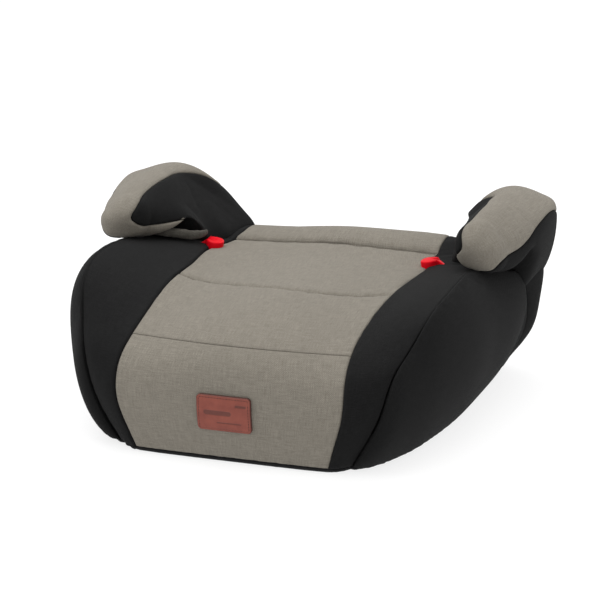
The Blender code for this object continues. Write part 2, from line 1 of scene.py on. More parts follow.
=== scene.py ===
"""Looks of the booster seat: sewn cover panels, padded armrests, leather patch,
lap-belt guides and hem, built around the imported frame.  Work is in millimetres
in the cover's own frame and is turned into metres when a mesh is made.
"""
import math

import bmesh
import bpy
import numpy as np
from mathutils import Matrix, Vector
from mathutils.kdtree import KDTree


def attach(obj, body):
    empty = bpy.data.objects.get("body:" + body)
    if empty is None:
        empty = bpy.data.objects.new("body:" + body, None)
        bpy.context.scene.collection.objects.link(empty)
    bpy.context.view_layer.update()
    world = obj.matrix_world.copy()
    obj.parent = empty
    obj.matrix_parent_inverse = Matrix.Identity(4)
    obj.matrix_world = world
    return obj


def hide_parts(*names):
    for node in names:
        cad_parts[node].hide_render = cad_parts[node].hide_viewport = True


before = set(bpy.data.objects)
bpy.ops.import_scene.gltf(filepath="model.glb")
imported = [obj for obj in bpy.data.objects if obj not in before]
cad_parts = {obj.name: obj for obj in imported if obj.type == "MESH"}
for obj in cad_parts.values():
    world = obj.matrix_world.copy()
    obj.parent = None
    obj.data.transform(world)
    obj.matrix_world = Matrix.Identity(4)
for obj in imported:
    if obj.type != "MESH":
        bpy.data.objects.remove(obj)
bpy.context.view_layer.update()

MM = 0.001
CENTRE_Y = 6.02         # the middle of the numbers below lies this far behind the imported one
HEM_Z = 4.0
REACH = np.array((205.0, 195.0, 135.0))  # half width, half depth and height that sinking scales by
CELL = 2.6              # size of the faces on a fabric panel
PANEL_THICKNESS = 6.5
SEAM_GAP = 0.25
SWELL_CAP = 3.4
SIM_FRAMES = 16

# Half sections of the cover from the front hem over the seat to the back hem, middle to side.
STATIONS = np.array((
    ((0, -188, 4), (96, -186, 4), (104, -183, 4), (110, -178, 4), (114, -172, 4)),
    ((0, -197, 30), (104, -193, 30), (115, -189, 30), (123, -183, 30), (129, -176, 30)),
    ((0, -203, 60), (112, -196, 60), (125, -191, 60), (135, -184, 60), (143, -176, 60)),
    ((0, -200, 92), (112, -187, 90), (128, -183, 91), (142, -178, 92), (152, -170, 93)),
    ((0, -180, 114), (109, -158, 109), (130, -158, 110), (147, -155, 112), (161, -146, 115)),
    ((0, -130, 130), (108, -112, 122), (130, -114, 127), (152, -117, 132), (170, -115, 138)),
    ((0, -58, 136), (110, -48, 131), (135, -48, 138), (158, -50, 146), (178, -52, 152)),
    ((0, 15, 131), (112, 15, 130), (137, 14, 138), (160, 10, 145), (180, 8, 149)),
    ((0, 80, 128), (115, 80, 128), (140, 78, 132), (168, 74, 134), (195, 66, 134)),
    ((0, 128, 129), (105, 125, 126), (150, 125, 127), (193, 118, 128), (203, 92, 126)),
    ((0, 172, 131), (99, 170, 127), (155, 167, 126), (216, 146, 125), (206, 109, 109)),
    ((0, 190, 110), (99, 189, 104), (160, 187, 100), (213, 155, 92), (206, 124, 85)),
    ((0, 190, 60), (98, 189, 56), (156, 186, 52), (201, 165, 46), (199, 140, 48)),
    ((0, 186, 4), (97, 185, 4), (142, 183, 4), (168, 172, 4), (176, 150, 4)),
), float)
ACROSS = (0.0, 1.0, 1.33, 1.67, 2.0)
# Lower edge of each side, and how far the side stands out of the flat between its seam and that edge.
SIDE_HEM = np.array((
    (114, -172, 4), (122, -170, 4), (133, -158, 4), (143, -139, 4), (151, -118, 4),
    (157, -93, 4), (165, -41, 4), (168, 10, 4), (169, 62, 4), (170, 90, 4), (170, 112, 4),
    (171, 128, 4), (173, 141, 4), (176, 150, 4),
), float)
SIDE_BULGE = np.array((0, 6, 11, 15, 19, 23, 28, 29, 25, 20, 14, 8, 3, 0), float)
# Seams across the cover, given as stations.
FRONT_SEAM = 4.0
MIDDLE_SEAM = 6.0
MIDDLE_SEAM_BOW = 0.35
REAR_SEAM = 9.0
LAST = 13.0
CORNER_SEAM = ((0.0, 8.7), (0.1, 8.95), (0.25, 9.9), (0.5, 11.2), (0.75, 12.1), (1.0, 12.6))

# Sections of the +X armrest: y, then x and z of eight points round it.
ARM_SECTIONS = (
    (30, ((167, 156), (161, 171), (168, 188), (187, 194), (203, 184), (214, 168), (208, 149), (188, 147.5))),
    (60, ((147, 155), (152, 169), (167, 190), (187, 199), (208, 188), (223, 170), (216, 150), (182, 151.5))),
    (82, ((131, 153), (146, 168), (167, 192), (188, 199.5), (212, 188), (228, 170), (217, 152), (174, 152))),
    (94, ((125, 127), (144, 164), (167, 193), (189, 200), (214, 188), (230, 170), (214, 124), (170, 104))),
    (116, ((118, 121), (143, 162), (167, 192), (190, 200), (218, 188), (232, 171), (214, 113), (165, 95))),
    (138, ((112, 117), (137, 159), (165, 191), (190, 199), (220, 189), (232, 171), (214, 109), (160, 93))),
    (156, ((107, 114), (127, 152), (154, 187), (185, 197), (213, 188), (228, 166), (211, 105), (155, 92))),
    (172, ((103, 110), (117, 143), (140, 171), (172, 184), (200, 174), (211, 152), (200, 105), (150, 92))),
)
ARM_NOSE = 30.0
ARM_HEEL = 14.0
ARM_HEEL_CENTRE = (148.0, 98.0)
ARM_AROUND = 128
ARM_RINGS = 66
ARM_PRESSURE = 2.4
ARM_SHRINK = 0.02       # share by which its rings shrink before the simulation swells them
ARM_HELD = 1.6          # the cloth this near a seam is held
ARM_SUNK = 1.4          # how deep the armrest's foot reaches into the cover
ARM_WALL = 1.8
ARM_ROLL = (2.6, 2.3)   # radius and depth of the rolled edge of an armrest panel
ARM_CUTS = (0.0, 0.5, 1.2, 2.1)
ARM_DROOP = 4.6         # sag of the lower edge ahead of the belt slot
ARM_SPLIT_X = 190.0
# Outlines of the two black armrest panels, as y and z.
INNER_PANEL = (
    (77, 60), (78.5, 140), (78.5, 150), (75, 155), (68, 156.5), (56, 156.5), (40, 157),
    (24, 158.5), (12, 163), (5, 170), (7, 179), (20, 188.5), (40, 192.5), (60, 194.5), (93, 196),
    (116, 195), (138, 191.5), (156, 184.5), (172, 171), (184, 153), (210, 144), (210, 60),
)
OUTER_PANEL = (
    (13, 140), (13, 157), (31, 161), (48, 163), (60, 167), (76, 173), (97, 179), (120, 181),
    (140, 178), (158, 170), (174, 157), (190, 140), (210, 136), (210, 60), (60, 60), (34, 140),
)
# Dents in the armrest cover where it is gathered round the tip: ends, depth and width.
TIP_DENTS = (
    ((166, 14, 178), (184, 2, 163), 1.0, 5.5),
    ((190, 20, 190), (203, 8, 170), 0.5, 7.0),
    ((162, 10, 160), (184, 2, 158), 0.9, 4.5),
    ((212, 34, 180), (203, 12, 164), 1.0, 6.0),
)
SIDES = (("left", 1.0), ("right", -1.0))
# The stuffed cover isn't quite even: one rear corner is wider and higher, one shoulder fuller.
REAR_SPREAD = 16.0
REAR_SPREAD_X = 118.0
REAR_SPREAD_REACH = 48.0
REAR_LIFT = 8.0
SHOULDER = (-178.0, -85.0, 122.0)
SHOULDER_REACH = (45.0, 75.0, 42.0)
SHOULDER_FILL = 5.5
# How each loose armrest cover settles: its inner foot sideways, its tip sideways, its top up, and its tilt.
SETTLING = {"left": (27.0, -5.0, 2.0, 3.0), "right": (-6.0, 0.0, -4.0, -1.0)}
SLOT_SHARE = 0.54       # part of the outward settling that the cloth over the belt slot takes


# ------------------------------------------------------------ cover surface
def spline(knots, values, at):
    """Natural cubic spline through the values, sampled at the given places."""
    t = np.asarray(knots, float)
    p = np.asarray(values, float)
    u = np.clip(np.atleast_1d(np.asarray(at, float)), t[0], t[-1])
    n = len(t)
    h = np.diff(t)
    matrix = np.zeros((n, n))
    right = np.zeros_like(p)
    matrix[0, 0] = matrix[-1, -1] = 1.0
    for i in range(1, n - 1):
        matrix[i, i - 1:i + 2] = (h[i - 1], 2.0 * (h[i - 1] + h[i]), h[i])
        right[i] = 6.0 * ((p[i + 1] - p[i]) / h[i] - (p[i] - p[i - 1]) / h[i - 1])
    bend = np.linalg.solve(matrix, right.reshape(n, -1)).reshape(p.shape)
    i = np.clip(np.searchsorted(t, u) - 1, 0, n - 2)
    shape = (-1,) + (1,) * (p.ndim - 1)
    step = h[i].reshape(shape)
    a = ((t[i + 1] - u) / h[i]).reshape(shape)
    b = 1.0 - a
    curve = (a ** 3 - a) * bend[i] + (b ** 3 - b) * bend[i + 1]
    return a * p[i] + b * p[i + 1] + curve * step * step / 6.0


def fade(values, start, end):
    """0 up to start, 1 from end on, and even between them; start may be the larger."""
    return np.clip((values - start) / (end - start), 0.0, 1.0)


def ease(t):
    return t * t * (3.0 - 2.0 * t)


def chord(points):
    """Distance along a row of points, from 0."""
    steps = np.linalg.norm(np.diff(np.asarray(points, float), axis=0), axis=1)
    return np.concatenate([[0.0], np.cumsum(steps)])


FULL = np.concatenate([STATIONS[:, :0:-1] * (-1, 1, 1), STATIONS], axis=1)
FULL_ACROSS = np.array([-a for a in ACROSS[:0:-1]] + list(ACROSS))
ALONG = chord(STATIONS[:, 1])


def cover(a, s):
    """Points of the cover: |a| up to 2 is the band, 2 to 3 a side; s is the station."""
    a, s = np.broadcast_arrays(np.asarray(a, float), np.asarray(s, float))
    shape = a.shape
    a = a.ravel()
    v = np.interp(s.ravel(), np.arange(len(ALONG)), ALONG)
    eye = np.eye(len(ALONG))
    rows = spline(ALONG, eye, v)
    columns = spline(FULL_ACROSS, np.eye(len(FULL_ACROSS)), np.clip(a, -2.0, 2.0))
    band = np.einsum("ki,kj,ijc->kc", rows, columns, FULL)
    w = np.clip(np.abs(a) - 2.0, 0.0, 1.0)[:, None]
    ahead = (spline(ALONG, eye, v + 2.0) - spline(ALONG, eye, v - 2.0)) @ SIDE_HEM
    out = np.stack([ahead[:, 1], -ahead[:, 0], np.zeros(len(v))], axis=1)
    out /= np.linalg.norm(out, axis=1, keepdims=True)
    bulge = np.maximum(rows @ SIDE_BULGE, 0.0)[:, None] * np.sin(math.pi * w) ** 0.6
    side = (rows @ STATIONS[:, -1]) * (1.0 - w) + (rows @ SIDE_HEM) * w + out * bulge
    side *= np.stack([np.sign(a), np.ones(len(a)), np.ones(len(a))], axis=1)
    return np.where(np.abs(a)[:, None] <= 2.0, band, side).reshape(*shape, 3)


def uneven(points):
    """Shifts cover points as a worn cover sits: wider and fuller at one rear corner and one shoulder."""
    x, y, z = points[..., 0], points[..., 1], points[..., 2]
    behind = ease(fade(y, 70.0, 180.0)) * fade(z, 30.0, 90.0)
    moved = points.copy()
    moved[..., 0] += REAR_SPREAD * behind * np.exp(-((x - REAR_SPREAD_X) / REAR_SPREAD_REACH) ** 2)
    moved[..., 2] += REAR_LIFT * behind * fade(x, -50.0, 80.0) * fade(x, 215.0, 175.0)
    near = np.exp(-(((points - SHOULDER) / SHOULDER_REACH) ** 2).sum(axis=-1))
    moved[..., 0] -= SHOULDER_FILL * near
    moved[..., 2] += SHOULDER_FILL * near
    return moved


def sink(points, depth):
    """Moves cover points inwards without folding the surface."""
    base = np.array((0.0, 0.0, HEM_Z))
    return base + (points - base) * (1.0 - np.asarray(depth, float)[..., None] / REACH)


def outward(grid):
    """Unit normals of a grid of points."""
    down = np.gradient(grid, axis=0)
    across = np.gradient(grid, axis=1)
    normal = np.cross(across, down)
    return normal / np.maximum(np.linalg.norm(normal, axis=2, keepdims=True), 1e-9)


def spaced(length, fine_low, fine_high):
    """Fractions from 0 to 1 along a length, close together beside the seams."""
    fine = np.array((0.0, 0.3, 0.8, 1.5, 2.4, 3.6, 5.2))
    low = fine if fine_low else np.array((0.0,))
    high = fine if fine_high else np.array((0.0,))
    count = max(3, round((length - low[-1] - high[-1]) / CELL))
    middle = np.linspace(low[-1], length - high[-1], count + 1)
    return np.concatenate([low[:-1], middle, (length - high[-2::-1])]) / length


def roll(distance, radius, depth):
    """Depth of a rolled edge at this distance from its seam."""
    t = np.clip(distance / radius, 0.0, 1.0)
    return depth * (1.0 - np.sqrt(1.0 - (1.0 - t) ** 2))


def ripple(places, seed, wave):
    """Smooth irregular wave along a seam, from about -1 to 1."""
    rng = np.random.default_rng(seed)
    total = np.zeros_like(places)
    for _ in range(7):
        pitch = wave * rng.uniform(0.6, 2.2)
        total += np.sin(places * 2.0 * math.pi / pitch + rng.uniform(0.0, 6.28)) * rng.uniform(0.4, 1.0)
    return total / 2.6


# ---------------------------------------------------------------- mesh tools
def to_world(points):
    return (np.asarray(points, float) + (0.0, CENTRE_Y, 0.0)) * MM


def sheet_mesh(points, thread=None, field=None):
    """bmesh of a grid of points, its vertices by place, and its cloth UV map."""
    rows, columns = points.shape[:2]
    bm = bmesh.new()
    seam = None if field is None else bm.verts.layers.float.new("seam")
    made = bmesh.ops.create_grid(bm, x_segments=columns - 1, y_segments=rows - 1, size=1.0)
    world = to_world(points)
    place = {}
    for vert in made["verts"]:
        column = round((vert.co.x + 1.0) / 2.0 * (columns - 1))
        row = round((vert.co.y + 1.0) / 2.0 * (rows - 1))
        place[vert] = (row, column)
    if thread is not None:
        uv = bm.loops.layers.uv.new("thread")
        for face in bm.faces:
            for loop in face.loops:
                loop[uv].uv = thread[place[loop.vert]]
    for vert, spot in place.items():
        vert.co = world[spot]
        if seam is not None:
            vert[seam] = field[spot]
    return bm, place


def thread_map(grid):
    """Cloth coordinates of a grid in metres: across the roll, then along it."""
    middle_row = grid[grid.shape[0] // 2]
    middle_column = grid[:, grid.shape[1] // 2]
    u, v = np.meshgrid(chord(middle_row), chord(middle_column))
    return np.stack([u, v], axis=2) * MM


def finish_mesh(name, bm, materials, smooth=True):
    mesh = bpy.data.meshes.new(name)
    bm.to_mesh(mesh)
    bm.free()
    for polygon in mesh.polygons:
        polygon.use_smooth = smooth
    for material in materials:
        mesh.materials.append(material)
    obj = bpy.data.objects.new(name, mesh)
    bpy.context.scene.collection.objects.link(obj)
    return obj


def slab(name, outer, inner, material):
    """Closed panel between two grids of points with the same layout."""
    bm, place = sheet_mesh(outer, thread_map(outer))
    made = bmesh.ops.extrude_face_region(bm, geom=bm.faces[:])
    spots = list(place.values())
    tree = KDTree(len(place))
    for i, vert in enumerate(place):
        tree.insert(vert.co, i)
    tree.balance()
    world = to_world(inner)
    added = [item for item in made["geom"] if isinstance(item, bmesh.types.BMVert)]
    beneath = [spots[tree.find(vert.co)[1]] for vert in added]
    for vert, spot in zip(added, beneath):
        vert.co = world[spot]
    bmesh.ops.recalc_face_normals(bm, faces=bm.faces[:])
    return finish_mesh(name, bm, [material])


def piece(obj, replaces=()):
    """Puts a finished object on the body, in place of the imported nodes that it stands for."""
    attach(obj, "root")
    if replaces:
        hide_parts(*replaces)


# ---------------------------------------------------------- cloth simulation
def inflate(sheets):
    """Blows each held sheet up a little as cloth and returns the new grids."""
    scene = bpy.context.scene
    scene.frame_start, scene.frame_end = 1, SIM_FRAMES
    drape = {"quality": 5, "mass": 0.2, "tension_stiffness": 12.0, "compression_stiffness": 12.0,
             "shear_stiffness": 6.0, "bending_stiffness": 0.4, "use_pressure": True,
             "vertex_group_mass": "held"}
    running = {}
    for name, (grid, held, force) in sheets.items():
        bm, place = sheet_mesh(grid)
        order = np.zeros(grid.shape[:2], int)
        bm.verts.index_update()
        for vert, spot in place.items():
            order[spot] = vert.index
        obj = finish_mesh("sim_" + name, bm, [])
        group = obj.vertex_groups.new(name="held")
        for spot in np.argwhere(held > 0.0):
            group.add([int(order[tuple(spot)])], float(held[tuple(spot)]), "REPLACE")
        cloth = obj.modifiers.new("cloth", "CLOTH")
        for key, value in drape.items():
            setattr(cloth.settings, key, value)
        cloth.settings.uniform_pressure_force = force
        cloth.settings.effector_weights.gravity = 0.0
        cloth.collision_settings.use_collision = False
        cloth.point_cache.frame_start = 1
        cloth.point_cache.frame_end = SIM_FRAMES
        running[name] = (obj, order)
    for number in range(1, SIM_FRAMES + 1):
        scene.frame_set(number)
    graph = bpy.context.evaluated_depsgraph_get()
    result = {}
    for name, (obj, order) in running.items():
        shown = obj.evaluated_get(graph)
        mesh = shown.to_mesh()
        co = np.zeros(len(mesh.vertices) * 3)
        mesh.vertices.foreach_get("co", co)
        co = co.reshape(-1, 3)[order] / MM - (0.0, CENTRE_Y, 0.0)
        shown.to_mesh_clear()
        grid = sheets[name][0]
        move = co - grid
        size = np.linalg.norm(move, axis=2, keepdims=True)
        cap = SWELL_CAP * np.tanh(size / SWELL_CAP)
        result[name] = grid + move * cap / np.maximum(size, 1e-9)
    for obj, _ in running.values():
        mesh = obj.data
        bpy.data.objects.remove(obj, do_unlink=True)
        bpy.data.meshes.remove(mesh)
    scene.frame_set(1)
    return result


# ------------------------------------------------------------ shader groups
def new_group(name, inputs, outputs):
    """Node group with named sockets: inputs as (name, type, value)."""
    tree = bpy.data.node_groups.new(name, "ShaderNodeTree")
    for label, kind, value in inputs:
        socket = tree.interface.new_socket(label, in_out="INPUT", socket_type="NodeSocket" + kind)
        if value is not None:
            socket.default_value = value
    for label, kind in outputs:
        tree.interface.new_socket(label, in_out="OUTPUT", socket_type="NodeSocket" + kind)
    return tree, tree.nodes.new("NodeGroupInput"), tree.nodes.new("NodeGroupOutput")


def fill_inputs(tree, made, inputs):
    """Links or sets the inputs of a node, by name or number."""
    for key, value in dict(inputs).items():
        if isinstance(value, bpy.types.NodeSocket):
            tree.links.new(value, made.inputs[key])
        else:
            made.inputs[key].default_value = value
    return made


def node(tree, kind, inputs=(), **settings):
    """Adds a node, sets its properties, and fills or links its inputs."""
    made = tree.nodes.new("ShaderNode" + kind)
    for key, value in settings.items():
        setattr(made, key, value)
    return fill_inputs(tree, made, inputs)


def maths(tree, operation, *values):
    return node(tree, "Math", dict(enumerate(values)), operation=operation).outputs[0]


def mixed(tree, factor, one, two, blend="MIX"):
    made = node(tree, "Mix", {0: factor, 6: one, 7: two}, data_type="RGBA", blend_type=blend)
    return made.outputs[2]


def weave_group():
    """Plain weave with uneven yarn: thread height, fleck mask and yarn shade."""
    tree, enter, leave = new_group(
        "woven_yarn",
        (("Cloth", "Vector", None), ("Threads per metre", "Float", 900.0),
         ("Fleck size", "Float", 600.0), ("Unevenness", "Float", 1.0)),
        (("Height", "Float"), ("Fleck", "Float"), ("Shade", "Float")))
    cloth, pitch = enter.outputs["Cloth"], enter.outputs["Threads per metre"]
    scaled = node(tree, "VectorMath", {0: cloth}, operation="SCALE")
    tree.links.new(pitch, scaled.inputs["Scale"])
    part = node(tree, "SeparateXYZ", {0: scaled.outputs[0]})
    warp = maths(tree, "SINE", maths(tree, "MULTIPLY", part.outputs[0], math.pi))
    weft = maths(tree, "SINE", maths(tree, "MULTIPLY", part.outputs[1], math.pi))
    height = maths(tree, "MULTIPLY_ADD", maths(tree, "MULTIPLY", warp, weft), 0.5, 0.5)

    def yarn(stretch):
        turned = node(tree, "VectorMath", {0: cloth, 1: stretch}, operation="MULTIPLY")
        return node(tree, "TexNoise", {"Vector": turned.outputs[0], "Scale": 1.0, "Detail": 2.0,
                                       "Roughness": 0.6}).outputs[0]

    lengthwise = yarn((900.0, 70.0, 1.0))
    crosswise = yarn((70.0, 900.0, 1.0))
    over = maths(tree, "GREATER_THAN", maths(tree, "MULTIPLY", warp, weft), 0.0)
    shade = node(tree, "Mix", {0: over, 2: lengthwise, 3: crosswise}, data_type="FLOAT")
    fleck = node(tree, "TexNoise", {"Vector": cloth, "Detail": 3.0, "Roughness": 0.7})
    tree.links.new(enter.outputs["Fleck size"], fleck.inputs["Scale"])
    lumps = maths(tree, "MULTIPLY", maths(tree, "SUBTRACT", fleck.outputs[0], 0.5),
                  enter.outputs["Unevenness"])
    tree.links.new(maths(tree, "ADD", height, lumps), leave.inputs["Height"])
    tree.links.new(fleck.outputs[0], leave.inputs["Fleck"])
    tree.links.new(shade.outputs[0], leave.inputs["Shade"])
    return tree


def mottle_group():
    """Large and small mottling on the piece, with a fine moulded or hide grain."""
    tree, enter, leave = new_group(
        "mottle_and_grain",
        (("Place", "Vector", None), ("Patch size", "Float", 20.0), ("Grain size", "Float", 900.0)),
        (("Patch", "Float"), ("Grain", "Float"), ("Scratch", "Float")))
    patch = node(tree, "TexNoise", {"Vector": enter.outputs["Place"], "Detail": 4.0, "Roughness": 0.55})
    tree.links.new(enter.outputs["Patch size"], patch.inputs["Scale"])
    grain = node(tree, "TexVoronoi", {"Vector": enter.outputs["Place"]}, feature="SMOOTH_F1")
    tree.links.new(enter.outputs["Grain size"], grain.inputs["Scale"])
    brushed = node(tree, "VectorMath", {0: enter.outputs["Place"], 1: (60.0, 1400.0, 700.0)},
                   operation="MULTIPLY")
    scratch = node(tree, "TexNoise", {"Vector": brushed.outputs[0], "Scale": 1.0, "Detail": 3.0})
    tree.links.new(patch.outputs[0], leave.inputs["Patch"])
    tree.links.new(grain.outputs[0], leave.inputs["Grain"])
    tree.links.new(scratch.outputs[0], leave.inputs["Scratch"])
    return tree


WEAVE = weave_group()
MOTTLE = mottle_group()
YARN_SHARE = 0.55       # part of a cloth's colour that follows the yarn, the rest being fleck


def new_material(name, roughness, **constants):
    material = bpy.data.materials.new(name)
    material.use_nodes = True
    tree = material.node_tree
    shader = tree.nodes["Principled BSDF"]
    shader.inputs["Roughness"].default_value = roughness
    for key, value in constants.items():
        shader.inputs[key.replace("_", " ")].default_value = value
    return material, tree, shader


def group_node(tree, group, inputs):
    made = tree.nodes.new("ShaderNodeGroup")
    made.node_tree = group
    return fill_inputs(tree, made, inputs)


def ramp(tree, factor, stops):
    made = node(tree, "ValToRGB", {0: factor})
    elements = made.color_ramp.elements
    while len(elements) < len(stops):
        elements.new(0.5)
    for element, (position, colour) in zip(elements, stops):
        element.position = position
        element.color = (*colour, 1.0)
    return made.outputs[0]


def mottled(tree, patch_size, grain_size):
    """Mottling of these sizes, read along the object."""
    place = node(tree, "TexCoord").outputs["Object"]
    return group_node(tree, MOTTLE, {"Place": place, "Patch size": patch_size, "Grain size": grain_size})


def bumped(tree, shader, height, strength, distance):
    """Raises the surface by a height; the distance is in metres."""
    lift = node(tree, "Bump", {"Height": height, "Strength": strength, "Distance": distance})
    tree.links.new(lift.outputs[0], shader.inputs["Normal"])


def cloth_material(name, colours, threads, fleck_size, bump, sheen, patch=0.16):
    """Woven cloth in three shades of yarn, read along the piece's UV map."""
    material, tree, shader = new_material(name, 0.93, Sheen_Weight=sheen, Sheen_Roughness=0.55,
                                          Specular_IOR_Level=0.1)
    cloth = node(tree, "UVMap", uv_map="thread").outputs[0]
    weave = group_node(tree, WEAVE, {"Cloth": cloth, "Threads per metre": threads,
                                     "Fleck size": fleck_size, "Unevenness": 0.9})
    mottle = mottled(tree, 26.0, 500.0)
    tone = maths(tree, "MULTIPLY_ADD", weave.outputs["Shade"], YARN_SHARE,
                 maths(tree, "MULTIPLY", weave.outputs["Fleck"], 1.0 - YARN_SHARE))
    dark, middle, light = colours
    base = ramp(tree, tone, ((0.36, dark), (0.5, middle), (0.64, light)))
    cloudy = maths(tree, "MULTIPLY_ADD", mottle.outputs["Patch"], patch, 1.0 - patch / 2.0)
    deep = maths(tree, "MULTIPLY_ADD", weave.outputs["Height"], 0.22, 0.89)
    level = maths(tree, "MULTIPLY", cloudy, deep)
    colour = mixed(tree, 1.0, base, node(tree, "CombineColor", {0: level, 1: level, 2: level}).outputs[0],
                   "MULTIPLY")
    tree.links.new(colour, shader.inputs["Base Color"])
    bumped(tree, shader, weave.outputs["Height"], bump, 0.0004)
    return material


def moulded_material(name, dark, light, roughness, grain, bump, **constants):
    """Moulded plastic with a fine grain and slightly uneven gloss."""
    material, tree, shader = new_material(name, roughness, **constants)
    mottle = mottled(tree, 30.0, grain)
    colour = ramp(tree, mottle.outputs["Patch"], ((0.3, dark), (0.7, light)))
    tree.links.new(colour, shader.inputs["Base Color"])
    gloss = maths(tree, "MULTIPLY_ADD", mottle.outputs["Patch"], 0.2, roughness - 0.1)
    tree.links.new(gloss, shader.inputs["Roughness"])
    bumped(tree, shader, mottle.outputs["Grain"], bump, 0.0002)
    return material


def leather_material():
    """Embossed leather, darker where the burnished rim and the embossing are."""
    material, tree, shader = new_material("patch_leather", 0.55, Specular_IOR_Level=0.4)
    mottle = mottled(tree, 90.0, 1300.0)
    worn = node(tree, "Attribute", attribute_name="burnish").outputs["Fac"]
    base = ramp(tree, mottle.outputs["Patch"], ((0.3, (0.168, 0.033, 0.020)), (0.7, (0.226, 0.051, 0.030))))
    colour = mixed(tree, worn, base, (0.075, 0.018, 0.012, 1.0))
    tree.links.new(colour, shader.inputs["Base Color"])
    gloss = maths(tree, "MULTIPLY_ADD", mottle.outputs["Grain"], 0.25, 0.38)
    tree.links.new(gloss, shader.inputs["Roughness"])
    bumped(tree, shader, mottle.outputs["Grain"], 0.35, 0.0003)
    return material


def steel_material():
    material, tree, shader = new_material("zinc_steel", 0.32, Metallic=1.0)
    mottle = mottled(tree, 120.0, 2000.0)
    colour = ramp(tree, mottle.outputs["Scratch"], ((0.3, (0.50, 0.50, 0.51)), (0.7, (0.62, 0.62, 0.62))))
    tree.links.new(colour, shader.inputs["Base Color"])
    gloss = maths(tree, "MULTIPLY_ADD", mottle.outputs["Scratch"], 0.3, 0.18)
    tree.links.new(gloss, shader.inputs["Roughness"])
    return material


GREY_CLOTH = cloth_material(
    "melange_cloth", ((0.132, 0.119, 0.098), (0.186, 0.169, 0.141), (0.250, 0.229, 0.192)),
    1150.0, 1100.0, 0.5, 0.06, patch=0.10)
BLACK_CLOTH = cloth_material(
    "black_cloth", ((0.0045, 0.0045, 0.0046), (0.0074, 0.0074, 0.0075), (0.012, 0.012, 0.0122)),
    1150.0, 900.0, 0.5, 0.012, patch=0.10)
# A darker copy of the grey band cloth for the fold at the belt slot: painted shade, as the fold lies in the
# slot's shadow.
SHADED_BAND_CLOTH = cloth_material(
    "lining_cloth", ((0.050, 0.046, 0.039), (0.075, 0.070, 0.060), (0.105, 0.098, 0.085)),
    1150.0, 1100.0, 0.5, 0.03)
GREY_THREAD = cloth_material(
    "grey_thread", ((0.20, 0.18, 0.15), (0.27, 0.245, 0.205), (0.33, 0.30, 0.25)),
    1500.0, 900.0, 0.3, 0.1)
BLACK_THREAD = cloth_material(
    "black_thread", ((0.012, 0.012, 0.012), (0.02, 0.02, 0.02), (0.03, 0.03, 0.03)),
    1500.0, 900.0, 0.3, 0.05)
ELASTIC = cloth_material(
    "hem_webbing", ((0.008, 0.008, 0.008), (0.014, 0.014, 0.0145), (0.022, 0.022, 0.023)),
    1400.0, 800.0, 0.8, 0.04)
LEATHER = leather_material()
BLACK_PLASTIC = moulded_material("black_plastic", (0.018, 0.018, 0.019), (0.028, 0.028, 0.029),
                                 0.5, 1500.0, 0.25)
RED_PLASTIC = moulded_material("red_plastic", (0.60, 0.001, 0.008), (0.68, 0.002, 0.012), 0.45, 900.0, 0.05,
                               Specular_IOR_Level=0.08)
STEEL = steel_material()

# Kinds of sewn edge: radius and depth of the roll, and strength, reach and pitch of the puckers.
EDGES = {"seam": (2.6, 2.2, 0.22, 6.0, 10.0), "groove": (8.0, 4.4, 0.55, 12.0, 13.0),
         "hem": (5.0, 3.0, 0.5, 7.0, 10.0), "line": (2.0, 1.8, 0.15, 4.0, 10.0)}


# -------------------------------------------------------------- cover panels
def panel_grid(columns, first, last, edges):
    """Grid of cover points between two seams given as functions of a."""
    a = np.array(columns, float)
    middle = np.linspace(a[0], a[-1], 25)
    probe = cover(middle[None, :], first(middle)[None, :] * np.linspace(1, 0, 41)[:, None]
                  + last(middle)[None, :] * np.linspace(0, 1, 41)[:, None])
    width = chord(probe[20])[-1]
    length = chord(probe[:, 12])[-1]
    p = spaced(width, "w" in edges, "e" in edges)
    q = spaced(length, "s" in edges, "n" in edges)
    across = a[0] + p * (a[-1] - a[0])
    stations = first(across)[None, :] * (1.0 - q)[:, None] + last(across)[None, :] * q[:, None]
    return cover(across[None, :] + 0.0 * stations, stations)


def edge_distances(grid):
    """Distance of each place from the four edges of its panel."""
    steps = np.linalg.norm(np.diff(grid, axis=1), axis=2)
    from_west = np.concatenate([np.zeros((len(grid), 1)), np.cumsum(steps, axis=1)], axis=1)
    steps = np.linalg.norm(np.diff(grid, axis=0), axis=2)
    from_south = np.concatenate([np.zeros((1, grid.shape[1])), np.cumsum(steps, axis=0)], axis=0)
    return {"w": from_west, "e": from_west[:, -1:] - from_west,
            "s": from_south, "n": from_south[-1:] - from_south}


def sewn_edges(grid, edges, seed):
    """Rolls the edges of a panel down to its seams and puckers the cloth there."""
    distances = edge_distances(grid)
    depth = np.zeros(grid.shape[:2])
    pucker = np.zeros(grid.shape[:2])
    for number, (key, kind) in enumerate(edges.items()):
        near = distances[key]
        run = distances["w" if key in "sn" else "s"]
        radius, fall, strength, reach, pitch = EDGES[kind]
        depth = np.maximum(depth, roll(near, radius, fall))
        swell = np.exp(-near / reach) * (1.0 - np.exp(-near / 1.5))
        pucker += ripple(run, seed + number, pitch) * strength * swell
    rolled = grid + outward(grid) * (pucker - depth)[..., None]
    for keys, lines in (("sn", rolled), ("we", rolled.swapaxes(0, 1))):
        for key, edge, inner in ((keys[0], 0, 1), (keys[1], -1, -2)):
            if key in edges:
                step = lines[inner] - lines[edge]
                lines[edge] += SEAM_GAP * step / np.maximum(np.linalg.norm(step, axis=1, keepdims=True), 0.8)
    return rolled


def constant(station):
    """A seam straight across the cover, as a function of a like the two below."""
    return lambda a: np.full_like(np.asarray(a, float), station)


def middle_seam(a):
    return MIDDLE_SEAM + MIDDLE_SEAM_BOW * np.asarray(a, float) ** 2


def corner_seam(a):
    w, s = zip(*CORNER_SEAM)
    return spline(w, np.array(s), np.clip(np.abs(a) - 2.0, 0.0, 1.0))


